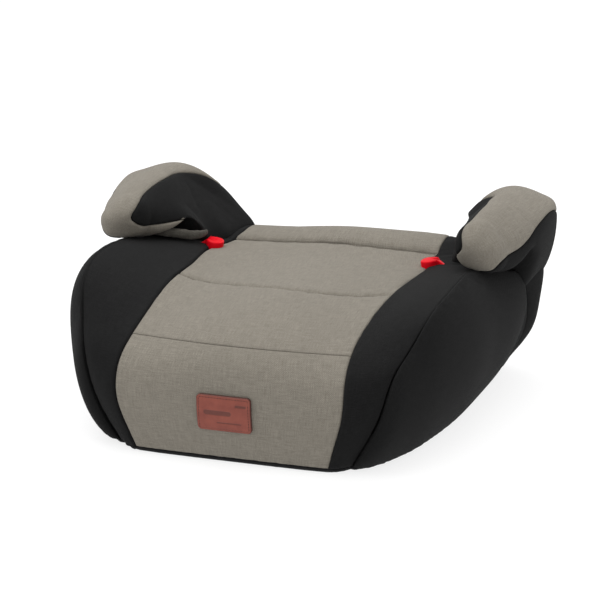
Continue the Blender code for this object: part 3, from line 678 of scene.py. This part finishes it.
COVER_PANELS = {
    # name: columns, first and last station, edges, swelling force, starting depth, seed
    "front_panel": ((-1, 1), constant(0.0), constant(FRONT_SEAM),
                    {"w": "seam", "e": "seam", "s": "hem", "n": "line"}, 2.6, 1.6, 11),
    "thigh_panel": ((-1, 1), constant(FRONT_SEAM), middle_seam,
                    {"w": "seam", "e": "seam", "s": "line", "n": "groove"}, 3.0, 1.4, 21),
    "seat_panel": ((-1, 1), middle_seam, constant(REAR_SEAM),
                   {"w": "seam", "e": "seam", "s": "groove", "n": "groove"}, 3.0, 1.2, 31),
    "rear_panel": ((-1, 1), constant(REAR_SEAM), constant(LAST),
                   {"w": "seam", "e": "seam", "s": "groove", "n": "hem"}, 3.6, -0.6, 41),
    "bolster": ((1, 2), constant(0.0), constant(LAST),
                {"w": "seam", "e": "seam", "s": "hem", "n": "hem"}, 3.2, 0.2, 51),
    "side_panel": ((2, 3), constant(0.08), corner_seam,
                   {"w": "seam", "e": "hem", "n": "seam"}, 4.0, -1.0, 61),
    "corner_panel": ((2, 3), corner_seam, constant(12.93),
                     {"w": "seam", "e": "hem", "s": "seam"}, 2.6, 0.0, 71),
}


def held_edges(grid):
    """Weights that hold a panel at its edges in the simulation."""
    held = np.zeros(grid.shape[:2])
    held[0] = held[-1] = 1.0
    held[:, 0] = held[:, -1] = 1.0
    return held


def mirror_grid(grid, sign):
    return grid if sign > 0 else (grid * (-1.0, 1.0, 1.0))[:, ::-1]


# ----------------------------------------------------------------- armrests
def arm_surface():
    """Rings of points of the +X armrest from the tip to the heel."""
    stations = np.array([y for y, _ in ARM_SECTIONS], float)
    places = np.linspace(0, 8, ARM_AROUND, endpoint=False)
    loops = [np.array(section[-3:] + section + section[:4], float) for _, section in ARM_SECTIONS]
    closed = np.array([spline(np.arange(-3, 12), loop, places) for loop in loops])
    length = chord(np.stack([stations, closed[:, :, 1].max(axis=1)], axis=1))
    where = np.interp(np.linspace(stations[0], stations[-1], ARM_RINGS), stations, length)
    body = np.concatenate([np.repeat(spline(length, stations, where)[:, None, None], ARM_AROUND, axis=1),
                           spline(length, closed, where)], axis=2)[:, :, (1, 0, 2)]
    first, last = body[0], body[-1]
    tip = (first.max(axis=0) + first.min(axis=0)) / 2.0
    nose = []
    for turn in np.radians(np.linspace(3.0, 86.0, 15)):
        ring = tip + (first - tip) * math.sin(turn)
        ring[:, 1] = stations[0] - ARM_NOSE * math.cos(turn)
        nose.append(ring)
    middle = np.array((ARM_HEEL_CENTRE[0], stations[-1], ARM_HEEL_CENTRE[1]))
    heel = []
    for turn in np.radians(np.linspace(10.0, 84.0, 9)):
        ring = middle + (last - middle) * math.cos(turn)
        ring[:, 1] = stations[-1] + ARM_HEEL * math.sin(turn)
        heel.append(ring)
    rings = np.concatenate([nose, body, heel])
    low = fade(rings[..., 2], 168.0, 154.0) * fade(rings[..., 1], 90.0, 80.0)
    inside = fade(rings[..., 0], 196.0, 176.0)
    rings[..., 2] -= ARM_DROOP * ease(low) * (0.55 + 0.45 * inside)
    return np.concatenate([rings, rings[:, :1]], axis=1)


def rounded(outline, times=2):
    """Cuts the corners of a closed outline."""
    points = np.array(outline, float)
    for _ in range(times):
        after = np.roll(points, -1, axis=0)
        points = np.stack([points * 0.75 + after * 0.25, points * 0.25 + after * 0.75], axis=1).reshape(-1, 2)
    return points


def inside_distance(points, outline):
    """Distance of flat points from an outline, positive inside it."""
    flat = points.reshape(-1, 2)
    best = np.full(len(flat), 1e9)
    inside = np.zeros(len(flat), bool)
    for one, two in zip(outline, np.roll(outline, -1, axis=0)):
        line = two - one
        t = np.clip(((flat - one) @ line) / max(line @ line, 1e-9), 0.0, 1.0)
        best = np.minimum(best, np.linalg.norm(flat - one - t[:, None] * line, axis=1))
        crosses = (one[1] > flat[:, 1]) != (two[1] > flat[:, 1])
        if line[1]:
            at = one[0] + (flat[:, 1] - one[1]) * line[0] / line[1]
            inside ^= crosses & (flat[:, 0] < at)
    return np.where(inside, best, -best).reshape(points.shape[:-1])


def height_over_cover(points):
    """How far points of the armrest stand out of the cover's surface."""
    a, s = np.meshgrid(np.linspace(0.7, 2.9, 160), np.linspace(6.4, 12.6, 240))
    surface = cover(a, s)
    normal = outward(surface).reshape(-1, 3)
    surface = surface.reshape(-1, 3)
    tree = KDTree(len(surface))
    for i, point in enumerate(surface):
        tree.insert(point, i)
    tree.balance()
    flat = points.reshape(-1, 3)
    result = np.zeros(len(flat))
    for i, point in enumerate(flat):
        k = tree.find(point)[1]
        result[i] = (point - surface[k]) @ normal[k]
    return result.reshape(points.shape[:-1])


def arm_fields(rings):
    """Distance from the seams of each armrest panel, positive on the panel."""
    side = rings[..., 1:]
    inner = np.minimum(inside_distance(side, rounded(INNER_PANEL)), ARM_SPLIT_X - rings[..., 0])
    outer = np.minimum(inside_distance(side, rounded(OUTER_PANEL)), rings[..., 0] - ARM_SPLIT_X)
    band = np.minimum(-inner, -outer)
    proud = height_over_cover(rings) + ARM_SUNK
    return {name: np.minimum(field, proud) for name, field in
            (("inner", inner), ("outer", outer), ("band", band))}


def dents(points, normal):
    """Moves points inwards along the gathered folds near the armrest's tip."""
    move = np.zeros(points.shape[:2])
    for one, two, depth, width in TIP_DENTS:
        one, two = np.array(one, float), np.array(two, float)
        line = two - one
        t = np.clip(((points - one) @ line) / (line @ line), 0.0, 1.0)
        away = np.linalg.norm(points - one - t[..., None] * line, axis=2)
        taper = np.sin(math.pi * np.clip(t * 0.9 + 0.05, 0, 1))
        crest = 0.12 * np.exp(-((away - 1.8 * width) / width) ** 2)
        move += depth * (crest - np.exp(-(away / width) ** 2)) * taper
    return points + normal * move[..., None]


def cut_line(bm, seam, level, snap):
    """Cuts the faces along the line where the distance from the seam is level."""
    for edge in list(bm.edges):
        one, two = edge.verts
        f, g = one[seam] - level, two[seam] - level
        if f * g >= 0.0:
            continue
        t = f / (f - g)
        if snap and min(t, 1.0 - t) < 0.15:
            vert = one if t < 0.5 else two
            vert.co = one.co.lerp(two.co, t)
        else:
            _, vert = bmesh.utils.edge_split(edge, one, t)
        vert[seam] = level
    on_line = [vert for vert in bm.verts if abs(vert[seam] - level) < 1e-5]
    bmesh.ops.connect_verts(bm, verts=on_line)


def close_notches(bm, seam):
    """Draws corners that the cuts left outside the seam onto it."""
    for vert in [v for v in bm.verts if v[seam] < -1e-4]:
        near = [e.other_vert(vert) for e in vert.link_edges if e.other_vert(vert)[seam] >= -1e-4]
        if near:
            vert.co = min(near, key=lambda v: (v.co - vert.co).length).co
            vert[seam] = 0.0
    bmesh.ops.remove_doubles(bm, verts=bm.verts[:], dist=0.00001)


def roll_edge(bm, seam):
    """Rolls the edge of an armrest panel down to its seam, along evened normals."""
    bm.normal_update()
    facing = {v: v.normal.copy() for v in bm.verts}
    for _ in range(3):
        facing = {v: sum((facing[e.other_vert(v)] for e in v.link_edges), facing[v]).normalized()
                  for v in bm.verts}
    for vert, normal in facing.items():
        vert.co = vert.co - normal * float(roll(np.array(vert[seam]), *ARM_ROLL)) * MM


def arm_panel(name, rings, thread, field, material, sign):
    """One sewn panel of an armrest, cut from its surface along the seams."""
    bm, _ = sheet_mesh(rings, thread, field)
    seam = bm.verts.layers.float["seam"]
    bmesh.ops.remove_doubles(bm, verts=bm.verts[:], dist=0.00002)
    bmesh.ops.holes_fill(bm, edges=[e for e in bm.edges if e.is_boundary], sides=0)
    bmesh.ops.recalc_face_normals(bm, faces=bm.faces[:])
    for level in ARM_CUTS:
        cut_line(bm, seam, level, level == 0.0)
    off = [f for f in bm.faces if sum(v[seam] for v in f.verts) / len(f.verts) < 0.0]
    bmesh.ops.delete(bm, geom=off, context="FACES")
    close_notches(bm, seam)
    roll_edge(bm, seam)
    if sign < 0:
        bmesh.ops.scale(bm, vec=(-1, 1, 1), verts=bm.verts[:])
        bmesh.ops.reverse_faces(bm, faces=bm.faces[:])
    obj = finish_mesh(name, bm, [material])
    wall = obj.modifiers.new("wall", "SOLIDIFY")
    wall.thickness = ARM_WALL * MM
    wall.offset = -1.0
    return obj


# ---------------------------------------------------- swept cloth and threads
def sweep(path, section, up, closed=False):
    """Grid of rings: a flat section carried along a path, standing on up."""
    path = np.asarray(path, float)
    if closed:
        tangent = np.roll(path, -1, axis=0) - np.roll(path, 1, axis=0)
    else:
        tangent = np.gradient(path, axis=0)
    tangent /= np.linalg.norm(tangent, axis=1, keepdims=True)
    up = np.broadcast_to(np.asarray(up, float), path.shape)
    side = np.cross(tangent, up)
    side /= np.linalg.norm(side, axis=1, keepdims=True)
    high = np.cross(side, tangent)
    section = np.asarray(section, float)
    if section.ndim == 2:
        section = np.broadcast_to(section, (len(path), *section.shape))
    return path[:, None] + side[:, None] * section[..., :1] + high[:, None] * section[..., 1:]


def swept_piece(name, rings, material, closed):
    """Mesh through rings of points, joined round and, if closed, end to end."""
    rings = np.concatenate([rings, rings[:, :1]], axis=1)
    if closed:
        rings = np.concatenate([rings, rings[:1]])
    thread = np.stack(np.meshgrid(chord(rings[0]), chord(rings[:, 0])), axis=2) * MM
    bm, _ = sheet_mesh(rings, thread)
    bmesh.ops.remove_doubles(bm, verts=bm.verts[:], dist=0.00001)
    ends = [edge for edge in bm.edges if edge.is_boundary]
    if ends:
        bmesh.ops.holes_fill(bm, edges=ends, sides=0)
    bmesh.ops.recalc_face_normals(bm, faces=bm.faces[:])
    return finish_mesh(name, bm, [material])


def along(at, run, points):
    """Point, or points, at a distance along a row whose running length is known."""
    return np.stack([np.interp(at, run, points[:, i]) for i in range(points.shape[1])], axis=-1)


def stitches(name, rows, material, length=2.6, gap=1.1, thick=0.55):
    """Rows of raised thread stitches; a row is points with their normals."""
    bm = bmesh.new()
    for path, normal in rows:
        run = chord(path)
        count = int(run[-1] // (length + gap))
        for k in range(count):
            at = (k + 0.5) * (length + gap)
            spot = along(at, run, path)
            ahead = along(at + 0.8, run, path) - spot
            face = along(at, run, normal)
            ahead /= np.linalg.norm(ahead)
            side = np.cross(face, ahead)
            side /= np.linalg.norm(side)
            face = np.cross(ahead, side)
            turn = Matrix(np.stack([ahead, side, face], axis=1)).to_4x4()
            size = Matrix.Diagonal((length / 2 * MM, thick / 2 * MM, thick / 2 * MM, 1.0))
            place = Matrix.Translation(to_world(spot + face * thick * 0.12))
            bmesh.ops.create_uvsphere(bm, u_segments=6, v_segments=5, radius=1.0, matrix=place @ turn @ size)
    uv = bm.loops.layers.uv.new("thread")
    for face in bm.faces:
        for loop in face.loops:
            loop[uv].uv = (loop.vert.co.x + loop.vert.co.y, loop.vert.co.z)
    return finish_mesh(name, bm, [material])


# ---------------------------------------------------------------- the pieces
def settle(arm, foot, tip, lift, tilt):
    """Lets an armrest's loose cover settle by the distances in SETTLING."""
    x, y, z = arm[..., 0], arm[..., 1], arm[..., 2]
    low = fade(z, 163.0, 133.0) * ease(fade(y, 84.0, 124.0))
    slot = fade(z, 176.0, 160.0) * fade(y, 36.0, 60.0) * fade(y, 118.0, 88.0)
    if foot > 0.0:
        low = np.maximum(low, SLOT_SHARE * slot)
    moved = arm.copy()
    moved[..., 0] += foot * low * fade(x, 172.0, 132.0) + tip * fade(y, 84.0, 24.0)
    moved[..., 2] += (lift + tilt * (x - ARM_SPLIT_X) / 25.0) * fade(z, 158.0, 198.0)
    return moved


def swollen_sheets():
    """Flat-lying grids of the cover panels, and every sheet's grid after the simulation."""
    grids = {name: sink(panel_grid(columns, first, last, edges), start)
             for name, (columns, first, last, edges, _, start, _) in COVER_PANELS.items()}
    sheets = {name: (grid, held_edges(grid), COVER_PANELS[name][4]) for name, grid in grids.items()}
    rings = arm_surface()
    fields = arm_fields(rings)
    held = (np.maximum.reduce(list(fields.values())) < ARM_HELD).astype(float)
    held[:, 0] = held[:, -1] = held[0] = held[-1] = 1.0
    start = rings + (rings.mean(axis=1, keepdims=True) - rings) * ARM_SHRINK
    sheets["armrest"] = (start, held, ARM_PRESSURE)
    return grids, inflate(sheets), fields


def build_cover(grids, shaped):
    """Sewn panels of the cover; returns the outer grids of the middle ones."""
    replaced = {"front_panel": ("cover_front",), "thigh_panel": ("cover_thigh",),
                "seat_panel": ("cover_seat", "seat_foam"), "rear_panel": ("cover_rear",),
                "bolster": ("cover_strip_", "side_foam_"), "side_panel": ("cover_gusset_",),
                "corner_panel": ("cover_gusset_",)}
    outers = {}
    for name, (columns, _, _, edges, _, _, seed) in COVER_PANELS.items():
        two_sided = columns[0] > 0
        cloth, slot = (BLACK_CLOTH, "black_fabric") if two_sided else (GREY_CLOTH, "grey_fabric")
        for number, (side, sign) in enumerate(SIDES if two_sided else (("", 1.0),)):
            outer = sewn_edges(shaped[name], edges, seed + 100 * number)
            inner = sink(grids[name], PANEL_THICKNESS)
            outers[name] = uneven(outer)
            obj = slab(name + ("_" + side if side else ""), uneven(mirror_grid(outer, sign)),
                       uneven(mirror_grid(inner, sign)), cloth)
            piece(obj, [node_name + side for node_name in replaced[name]])
    return outers


def build_armrests(arm, fields):
    """Three sewn panels round each armrest."""
    arm = dents(arm, outward(arm))
    arm[:, -1] = arm[:, 0]
    thread = thread_map(arm)
    for side, sign in SIDES:
        shifted = settle(arm, *SETTLING[side])
        for key, cloth, slot, nodes in (
                ("inner", BLACK_CLOTH, "black_fabric", ("armrest_inner_panel_",)),
                ("outer", BLACK_CLOTH, "black_fabric", ("armrest_outer_panel_",)),
                ("band", GREY_CLOTH, "grey_fabric", ("armrest_band_", "armrest_foam_", "armrest_core_"))):
            obj = arm_panel("arm_%s_%s" % (key, side), shifted, thread, fields[key], cloth, sign)
            piece(obj, [node_name + side for node_name in nodes])


STITCH_INSET = 4.2      # distance of the top stitching from its channel


def build_seat_stitching(outers):
    """Top stitching beside the two channels across the seat."""
    rows = []
    for name in ("thigh_panel", "seat_panel"):
        grid = outers[name]
        distance = edge_distances(grid)["n"]
        row = int(np.argmin(np.abs(distance[:, grid.shape[1] // 2] - STITCH_INSET)))
        rows.append((grid[row, 4:-4], outward(grid)[row, 4:-4]))
    piece(stitches("seat_stitching", rows, GREY_THREAD), ())


HEM_INSET = 5.0         # depth of the webbing's middle under the cover's surface
HEM_HEIGHT = 2.9
HEM_HALF = (2.8, 1.9)   # half width and half height of the webbing
HEM_CLEARANCE = 0.4     # lowest height of the webbing over the floor


def oval(half, count):
    """Flat oval section with this half width and half height."""
    turn = np.linspace(0, 2 * math.pi, count, endpoint=False)
    return np.stack([half[0] * np.cos(turn), half[1] * np.sin(turn)], axis=1)


def hem_loop(depth, count=600):
    """Loop of points round the lower edge of the cover."""
    front = cover(np.linspace(-2, 2, 160), 0.0)
    left = cover(3.0, np.linspace(0, LAST, 200)[1:])
    back = cover(np.linspace(2, -2, 160)[1:], LAST)
    right = left[:-1][::-1] * (-1, 1, 1)
    loop = sink(np.concatenate([front, left, back, right]), depth)
    closed = np.concatenate([loop, loop[:1]])
    run = chord(closed)
    at = np.linspace(0.0, run[-1], count, endpoint=False)
    return along(at, run, closed), at


def build_hem():
    """Gathered webbing that turns the cover in under the base."""
    loop, at = hem_loop(HEM_INSET)
    loop[:, 2] = HEM_HEIGHT + 0.25 * ripple(at, 5, 9.0)
    section = oval(HEM_HALF, 12)
    swell = 1.0 + 0.16 * ripple(at, 8, 7.0)
    sections = section[None] * np.clip(swell, 0.7, 1.25)[:, None, None]
    rings = sweep(loop, sections, (0, 0, 1), closed=True)
    rings[..., 2] = np.maximum(rings[..., 2], HEM_CLEARANCE)
    piece(swept_piece("hem_webbing", rings, ELASTIC, True), ("hem_elastic",))


def front_place(x, z):
    """Place on the front of the cover that lies at this x and z."""
    a, s = x / 108.0, 1.0 + (z - 30.0) / 31.0
    for _ in range(25):
        point = cover(a, s)
        a = a + (x - point[..., 0]) / 110.0
        s = s + (z - point[..., 2]) / 40.0
    return point


LABEL_SIZE = (53.0, 35.5)
LABEL_CENTRE = (0.0, 54.5)
LABEL_CORNER = 4.0
LABEL_PROUD = 2.3       # height of its face over the cover
LABEL_SUNK = 1.2
LABEL_BORDER = 2.3      # inset of the stitched line
# Embossing of the patch, in mm from its middle: centre, half length and half width of each bar.
LABEL_BARS = ((-6.0, 1.0, 13.5, 2.3), (17.0, 9.2, 5.5, 1.3), (5.0, -8.6, 12.0, 0.45))


def label_shape(x, z, width, height, corner):
    """Distance inside a rounded rectangle."""
    dx, dz = np.abs(x) - (width / 2 - corner), np.abs(z) - (height / 2 - corner)
    outside = np.hypot(np.maximum(dx, 0.0), np.maximum(dz, 0.0)) + np.minimum(np.maximum(dx, dz), 0.0)
    return corner - outside


# Middle line of the fold at the belt slot, its shift and half section, and the seeds of its waver.
SLOT_FOLD = ((176, 48, 148.5), (166, 55, 146), (156, 60.5, 144.2), (146, 65, 142.4), (137, 69, 141),
             (130, 73.5, 140), (125.5, 79, 140.5), (123, 85, 141))
FOLD_SHIFT = {"left": 30.0, "right": -1.0}
FOLD_HALF = (2.8, 5.0)
FOLD_AROUND = 20
FOLD_SEED = {"left": 91, "right": 96}


def build_slot_folds():
    """Spare cloth of the armrest band, gathered into a fold at the belt slot, in the band's grey cloth
    darkened as painted shade.
    """
    at = np.linspace(0, len(SLOT_FOLD) - 1, 90)
    line = spline(np.arange(len(SLOT_FOLD)), np.array(SLOT_FOLD, float), at)
    size = np.sin(math.pi * np.linspace(0.12, 0.93, len(at))) ** 0.5
    for side, sign in SIDES:
        seed = FOLD_SEED[side]
        waver = np.stack([0.0 * at, 0.25 * ripple(at, seed, 0.9), 0.35 * ripple(at, seed + 1, 1.1)], axis=1)
        crush = np.stack([1.0 + 0.06 * ripple(at, seed + 2 + k % 5, 0.8) * math.sin(1.3 * k)
                          for k in range(FOLD_AROUND)], axis=1)
        section = oval(FOLD_HALF, FOLD_AROUND)[None] * (size[:, None] * crush)[..., None]
        rings = (sweep(line + waver, section, (0, 0, 1)) + (FOLD_SHIFT[side], 0.0, 0.0)) * (sign, 1.0, 1.0)
        piece(swept_piece("slot_fold_" + side, rings, SHADED_BAND_CLOTH, False), ())


def build_label():
    """Leather patch with a burnished rim, a stitched border and plain bars."""
    width, height = LABEL_SIZE
    x, z = np.meshgrid(np.linspace(-1, 1, 93), np.linspace(-1, 1, 61))
    x, z = x * width / 2, z * height / 2
    dx, dz = np.abs(x) - (width / 2 - LABEL_CORNER), np.abs(z) - (height / 2 - LABEL_CORNER)
    reach = np.where((dx > 0) & (dz > 0), np.maximum(dx, dz) / np.maximum(np.hypot(dx, dz), 1e-9), 1.0)
    px = np.where(dx > 0, np.sign(x) * (width / 2 - LABEL_CORNER + dx * reach), x)
    pz = np.where(dz > 0, np.sign(z) * (height / 2 - LABEL_CORNER + dz * reach), z)
    edge = label_shape(px, pz, width, height, LABEL_CORNER)
    rise = -0.9 * np.clip(1.0 - edge / 1.1, 0.0, 1.0) ** 2
    border = np.exp(-((edge - LABEL_BORDER) / 0.35) ** 2)
    rise -= 0.25 * border
    pressed = np.zeros_like(px)
    for cx, cz, long, wide in LABEL_BARS:
        inside = label_shape(px - cx, pz - cz, 2 * long, 2 * wide, wide * 0.98)
        pressed = np.maximum(pressed, np.clip(inside / 0.35 + 0.5, 0.0, 1.0))
    rise -= 0.42 * pressed
    base = front_place(LABEL_CENTRE[0] + px, LABEL_CENTRE[1] + pz)
    normal = outward(base)
    outer = base + normal * (LABEL_PROUD + rise)[..., None]
    obj = slab("label_leather", outer, base - normal * LABEL_SUNK, LEATHER)
    burnish = obj.data.attributes.new("burnish", "FLOAT", "POINT")
    worn = np.clip(np.clip(1.0 - edge / 1.3, 0, 1) + 0.75 * pressed + 0.35 * border, 0.0, 1.0).ravel()
    tree = KDTree(worn.size)
    for i, point in enumerate(to_world(outer).reshape(-1, 3)):
        tree.insert(point, i)
    tree.balance()
    burnish.data.foreach_set("value", [float(worn[tree.find(v.co)[1]]) for v in obj.data.vertices])
    piece(obj, ("label_patch",))
    w, h, r = width / 2 - LABEL_BORDER, height / 2 - LABEL_BORDER, LABEL_CORNER - LABEL_BORDER
    corners = []
    for cx, cz, begin in ((w - r, h - r, 0), (r - w, h - r, 90), (r - w, r - h, 180), (w - r, r - h, 270)):
        turn = np.radians(np.linspace(begin, begin + 90, 9))
        corners.append(np.stack([cx + r * np.cos(turn), cz + r * np.sin(turn)], axis=1))
    loop = np.concatenate(corners + [corners[0][:1]])
    run = chord(loop)
    at = np.linspace(0, 1, 240, endpoint=False) * run[-1]
    lx, lz = np.interp(at, run, loop[:, 0]), np.interp(at, run, loop[:, 1])
    path = front_place(LABEL_CENTRE[0] + lx, LABEL_CENTRE[1] + lz)
    ahead = np.roll(path, -1, axis=0) - np.roll(path, 1, axis=0)
    face = np.cross(ahead, np.cross(np.array((0.0, -1.0, 0.05)), ahead))
    face /= np.linalg.norm(face, axis=1, keepdims=True)
    thread = stitches("label_stitching", [(path + face * 2.15, face)], BLACK_THREAD, 2.0, 0.9, 0.42)
    piece(thread, ())


# Outline of the +X red hook seen from above, and the point it stands on.
GUIDE_OUTLINE = (
    (104, 85), (105, 77), (109.5, 73), (116, 73), (120.5, 77), (122, 81), (130, 81), (142, 81),
    (142, 86), (130, 87), (122, 88), (120, 91), (115, 93.5), (107.5, 92),
)
GUIDE_PIVOT = (115.0, 90.0, 125.4)
GUIDE_THICKNESS = 9.0
GUIDE_TILT = math.radians(-7.5)
GUIDE_SHIFT = {"left": 3.5, "right": 0.0}
GUIDE_BEND = 0.9        # fall of its tail for each millimetre beyond GUIDE_STRAIGHT
GUIDE_STRAIGHT = 6.0
GUIDE_BEVEL = 2.4


def build_guides():
    """Moulded red hooks that hold the lap belt down at the armrests."""
    outline = rounded(GUIDE_OUTLINE, 2) - GUIDE_PIVOT[:2]
    for side, sign in SIDES:
        bm = bmesh.new()
        made = bmesh.ops.create_circle(bm, cap_ends=True, radius=1.0, segments=len(outline))
        for vert, (x, y) in zip(made["verts"], outline):
            vert.co = (sign * x * MM, y * MM, -GUIDE_BEND * max(x - GUIDE_STRAIGHT, 0.0) * MM)
        cap = bmesh.ops.extrude_face_region(bm, geom=bm.faces[:])
        top = [item for item in cap["geom"] if isinstance(item, bmesh.types.BMVert)]
        bmesh.ops.translate(bm, verts=top, vec=(0, 0, GUIDE_THICKNESS * MM))
        bmesh.ops.recalc_face_normals(bm, faces=bm.faces[:])
        rim = [e for e in bm.edges if any(len(f.verts) > 4 for f in e.link_faces)]
        bmesh.ops.bevel(bm, geom=rim, offset=GUIDE_BEVEL * MM, offset_type="OFFSET", affect="EDGES",
                        segments=4, profile=0.5, material=-1, clamp_overlap=True)
        place = Matrix.Translation(to_world((sign * (GUIDE_PIVOT[0] + GUIDE_SHIFT[side]), *GUIDE_PIVOT[1:])))
        bmesh.ops.transform(bm, matrix=place @ Matrix.Rotation(sign * GUIDE_TILT, 4, "Y"), verts=bm.verts[:])
        obj = finish_mesh("guide_hook_" + side, bm, [RED_PLASTIC])
        piece(obj, ("belt_guide_" + side, "guide_screw_" + side))


def dress_frame():
    """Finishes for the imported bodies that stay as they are."""
    for name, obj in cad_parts.items():
        if obj.hide_render:
            continue
        material = STEEL if "screw" in name else BLACK_PLASTIC
        obj.data.materials.clear()
        obj.data.materials.append(material)


def build_stage():
    bm = bmesh.new()
    bmesh.ops.create_grid(bm, x_segments=2, y_segments=2, size=6.0)
    floor = finish_mesh("floor", bm, [], smooth=False)
    material, _, shader = new_material("pale_floor", 0.9)
    shader.inputs["Base Color"].default_value = (0.22, 0.22, 0.22, 1.0)
    shader.inputs["Emission Color"].default_value = (1.0, 1.0, 1.0, 1.0)
    shader.inputs["Emission Strength"].default_value = 0.8
    floor.data.materials.append(material)
    world = bpy.data.worlds.new("studio")
    world.use_nodes = True
    world.node_tree.nodes["Background"].inputs[0].default_value = (1.0, 1.0, 1.0, 1.0)
    world.node_tree.nodes["Background"].inputs[1].default_value = 0.95
    bpy.context.scene.world = world
    for name, place, size, power in (
            ("key", (-0.35, 0.0, 2.1), 2.1, 32.0), ("fill", (-1.7, -1.4, 1.0), 1.4, 3.0),
            ("rear", (0.6, 2.0, 1.2), 1.4, 7.0)):
        light = bpy.data.lights.new(name, "AREA")
        light.shape = "SQUARE"
        light.size = size
        light.energy = power
        lamp = bpy.data.objects.new(name, light)
        lamp.location = place
        lamp.rotation_euler = (Vector((0, 0, 0.1)) - Vector(place)).to_track_quat("-Z", "Y").to_euler()
        bpy.context.scene.collection.objects.link(lamp)


CAMERA_TURN = math.radians(18.5)
CAMERA_RISE = math.radians(19.5)
CAMERA_DISTANCE = 2.6
CAMERA_LENS = 156.0
CAMERA_SENSOR = 36.0


def build_camera():
    turn, rise = CAMERA_TURN, CAMERA_RISE
    back = Vector((math.sin(turn) * math.cos(rise), -math.cos(turn) * math.cos(rise), math.sin(rise)))
    right = Vector((math.cos(turn), math.sin(turn), 0.0))
    up = back.cross(right)
    base = Vector(to_world((0.0, 0.0, 0.0)))
    camera = bpy.data.cameras.new("camera")
    camera.lens = CAMERA_LENS
    camera.sensor_width = CAMERA_SENSOR
    obj = bpy.data.objects.new("camera", camera)
    obj.location = base + back * CAMERA_DISTANCE
    aim = base + right * 0.0065 + up * 0.1
    obj.rotation_euler = (aim - obj.location).to_track_quat("-Z", "Y").to_euler()
    bpy.context.scene.collection.objects.link(obj)
    bpy.context.scene.camera = obj


bpy.context.scene.view_settings.view_transform = "Standard"
build_camera()
flat_grids, shapes, arm_seams = swollen_sheets()
panels = build_cover(flat_grids, shapes)
build_armrests(shapes["armrest"], arm_seams)
build_seat_stitching(panels)
build_hem()
build_slot_folds()
build_label()
build_guides()
dress_frame()
build_stage()
